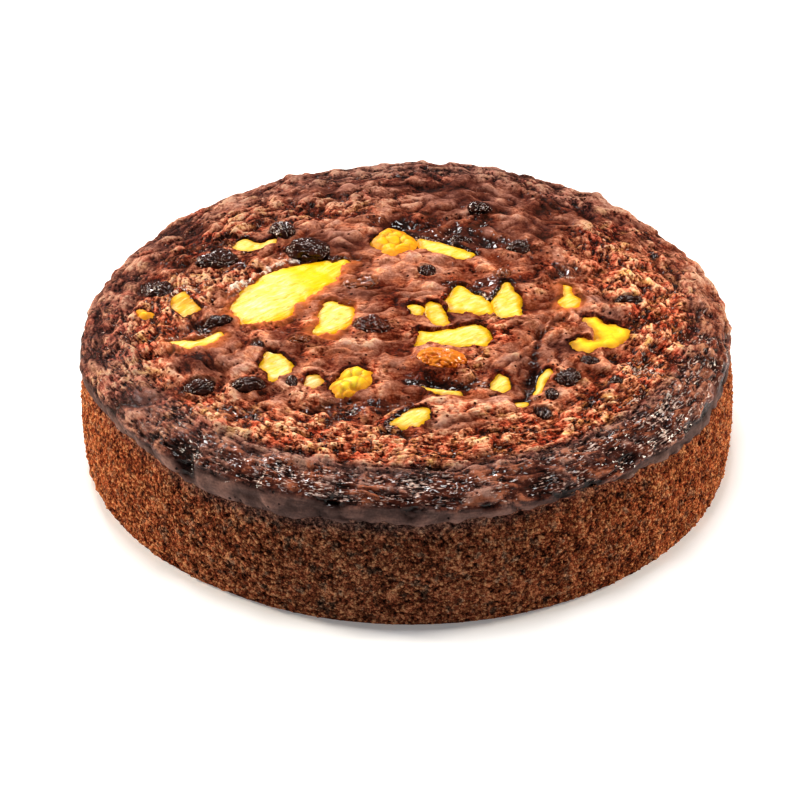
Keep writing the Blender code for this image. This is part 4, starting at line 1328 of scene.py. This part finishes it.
def crust_material():
    made, tree, shader = new_material("crust", Specular_IOR_Level=0.03, Coat_Roughness=0.08)
    crumbly, sticky = read(tree, "crumbly"), read(tree, "sticky")
    streaks, fine = flow_speckle(tree, 2.6, 0.9, 4.0), speckle(tree, 0.8, 1.0)
    tone, rough_part = crust_tone(tree, crumbly, streaks, fine)
    beads = flow_speckle(tree, 3.2, 1.9, 0.5)
    height = rough_part * within_one(1.0 - sticky) + beads * between(sticky, 0.0, 0.0008)
    finish_shader(tree, shader, crust_tint(tree, tone, crumbly, sticky), between(fine, 0.5, 0.9), height,
                  Coat_Weight=sticky * between(read(tree, "painted_grey_sheen"), 0.5, 0.4))
    return made


def crumb_material():
    made, tree, shader = new_material("crumb", Specular_IOR_Level=0.02)
    gap, chance, other = grains(tree, 0.95, 0.5)
    small_gap, small_chance, _ = grains(tree, 0.6, 0.4)
    fine, patches = speckle(tree, 0.5), speckle(tree, 6.0, 2.0)
    # Darker towards the edges of the grains, as painted shade between them, with random tone from grain to
    # grain and in patches
    tone = (read(tree, "tone") - 0.6 * (gap - 0.5) + 0.4 * (chance - 0.5) - 0.4 * (small_gap - 0.5)
            + 0.25 * (small_chance - 0.5) + 0.6 * (fine - 0.5) + 0.7 * (patches - 0.5)
            + 1.8 * (speckle(tree, 1.7, 4.0, 0.7) - 0.5))
    red = 0.55 * reckon("GREATER_THAN", other + patches, 1.04)
    tint = blend(red, ramp(tone, CRUMB_RAMP), ramp(tone, RED_CRUMB_RAMP))
    # Greyer crumb in random patches, and painted shade on the crumb of the front side
    greyed_and_shaded = within_one(0.6 * rising(speckle(tree, 3.5, 2.0), 0.54, 0.68) + read(tree, "greyed_and_shaded"))
    tint = blend(greyed_and_shaded, tint, ramp(tone, GREYED_AND_SHADED_CRUMB_RAMP))
    # Painted shadow under the lip, which also stands for browner crumb there
    tint = blend(0.7 * read(tree, "under_lip"), tint, ramp(tone, SHEEN_AND_SHADE_RAMP))
    height = 0.0002 * fine - 0.0006 * gap - 0.0003 * small_gap
    finish_shader(tree, shader, tint, between(fine, 0.6, 0.9), height)
    return made


def pineapple_material(name, lemon, flesh):
    made, tree, shader = new_material(name, Subsurface_Weight=0.12, Subsurface_Scale=0.002,
                                      Specular_IOR_Level=0.12)
    fibres, pale = fibre_speckle(tree, 3.0, 0.7), read(tree, "pale")
    tint = blend(read(tree, "gold"), lemon, GOLDEN)
    # Paler flesh with a painted highlight in the middle, with cream streaks along the fibres
    tint = blend(pale * rising(fibres, 0.25, 0.6), tint, flesh)
    tint = blend(rising(fibre_speckle(tree, 4.5, 1.4), 0.5, 0.68) * (0.8 * pale), tint, CREAM)
    tint = blend(0.55 * rising(speckle(tree, 2.6, 3.0), 0.56, 0.7), tint, GOLDEN)
    tint = blend(0.45 * read(tree, "edge"), tint, FRUIT_EDGE)
    finish_shader(tree, shader, tint, between(fibres, 0.25, 0.5), 0.0003 * fibres)
    return made


def walnut_material():
    made, tree, shader = new_material("walnut_kernel", Subsurface_Weight=0.1, Subsurface_Scale=0.0015,
                                      Specular_IOR_Level=0.12)
    fine = speckle(tree, 0.8)
    depth = within_one(between(fine, 0.5, 1.4) * read(tree, "gold"))
    tint = blend(depth, WALNUT_LIGHT, WALNUT_DEEP)
    # Painted shade in the creases between the lobes
    tint = blend(0.8 * read(tree, "crease"), tint, WALNUT_CREASE)
    tint = blend(0.8 * read(tree, "edge"), tint, FRUIT_EDGE)
    finish_shader(tree, shader, tint, between(fine, 0.3, 0.55), 0.00015 * fine)
    return made


def raisin_material(name, skin, fold, shine):
    made, tree, shader = new_material(name, Specular_IOR_Level=shine, Specular_Tint=ROSY)
    fine = speckle(tree, 0.9, 1.0)
    # Painted shade in the folds, and random darker spots
    tint = blend(between(fine, 0.0, 0.4), blend(read(tree, "crease"), skin, fold), fold)
    finish_shader(tree, shader, tint, between(fine, 0.08, 0.24), 0.00012 * fine)
    return made


def floor_material():
    made, tree, shader = new_material("pale_floor", Roughness=0.8, Emission_Color=(1.0, 1.0, 1.0, 1.0),
                                      Emission_Strength=FLOOR_GLOW)
    tint = blend(speckle(tree, 40.0), FLOOR_DARK, FLOOR_LIGHT)
    tree.links.new(tint.socket, shader.inputs["Base Color"])
    return made


def add_floor():
    mesh = bpy.data.meshes.new("floor")
    corners = [(x * FLOOR_HALF, y * FLOOR_HALF, 0) for x, y in ((-1, -1), (1, -1), (1, 1), (-1, 1))]
    mesh.from_pydata(corners, [], [(0, 1, 2, 3)])
    mesh.materials.append(floor_material())
    floor = bpy.data.objects.new("floor", mesh)
    floor.location.z = -FLOOR_BELOW
    bpy.context.scene.collection.objects.link(floor)


def add_lamp(name, place, size, power, tint):
    """A soft square light that looks at the cake."""
    lamp = bpy.data.lights.new(name, "AREA")
    lamp.color = tint
    lamp.size = size
    lamp.energy = power
    made = bpy.data.objects.new(name, lamp)
    made.location = place
    made.rotation_euler = (Vector(LAMP_AIM) - Vector(place)).to_track_quat("-Z", "Y").to_euler()
    bpy.context.scene.collection.objects.link(made)


def add_world():
    world = bpy.data.worlds.new("studio")
    world.use_nodes = True
    background = world.node_tree.nodes["Background"]
    background.inputs[0].default_value = COOL_SKY
    background.inputs[1].default_value = WORLD_GLOW
    bpy.context.scene.world = world


def add_camera():
    pitch = math.radians(CAMERA_PITCH)
    back = Vector((0.0, -math.cos(pitch), math.sin(pitch)))
    lens = bpy.data.cameras.new("camera")
    lens.lens = CAMERA_LENS
    camera = bpy.data.objects.new("camera", lens)
    camera.location = Vector(CAMERA_AIM) + back * CAMERA_DISTANCE
    camera.rotation_euler = (math.pi / 2 - pitch, 0.0, 0.0)
    bpy.context.scene.collection.objects.link(camera)
    bpy.context.scene.camera = camera


FRUIT = [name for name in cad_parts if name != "cake"]
FLAT_FRUIT = [name for name in FRUIT if "raisin" not in name]
RAISINS = [name for name in FRUIT if "raisin" in name]
OUTLINES = {name: moved_outline(name, rounded(node_outline(name), OUTLINE_STEP)) for name in FRUIT}

build_crust(crust_material())
build_crumb(crumb_material())
build_flat_fruit({
    "pineapple": pineapple_material("pineapple_flesh", LEMON, PALE_FLESH_AND_HIGHLIGHT),
    "veiled": pineapple_material("pineapple_under_syrup", OLIVE, PALE_OLIVE),
    "walnut": walnut_material(),
})
build_raisins({kind: raisin_material(*look) for kind, look in RAISIN_KINDS.items()})
add_floor()
add_world()
for lamp_name, lamp_look in LAMPS.items():
    add_lamp(lamp_name, *lamp_look)
add_camera()
bpy.context.scene.view_settings.view_transform = "Standard"
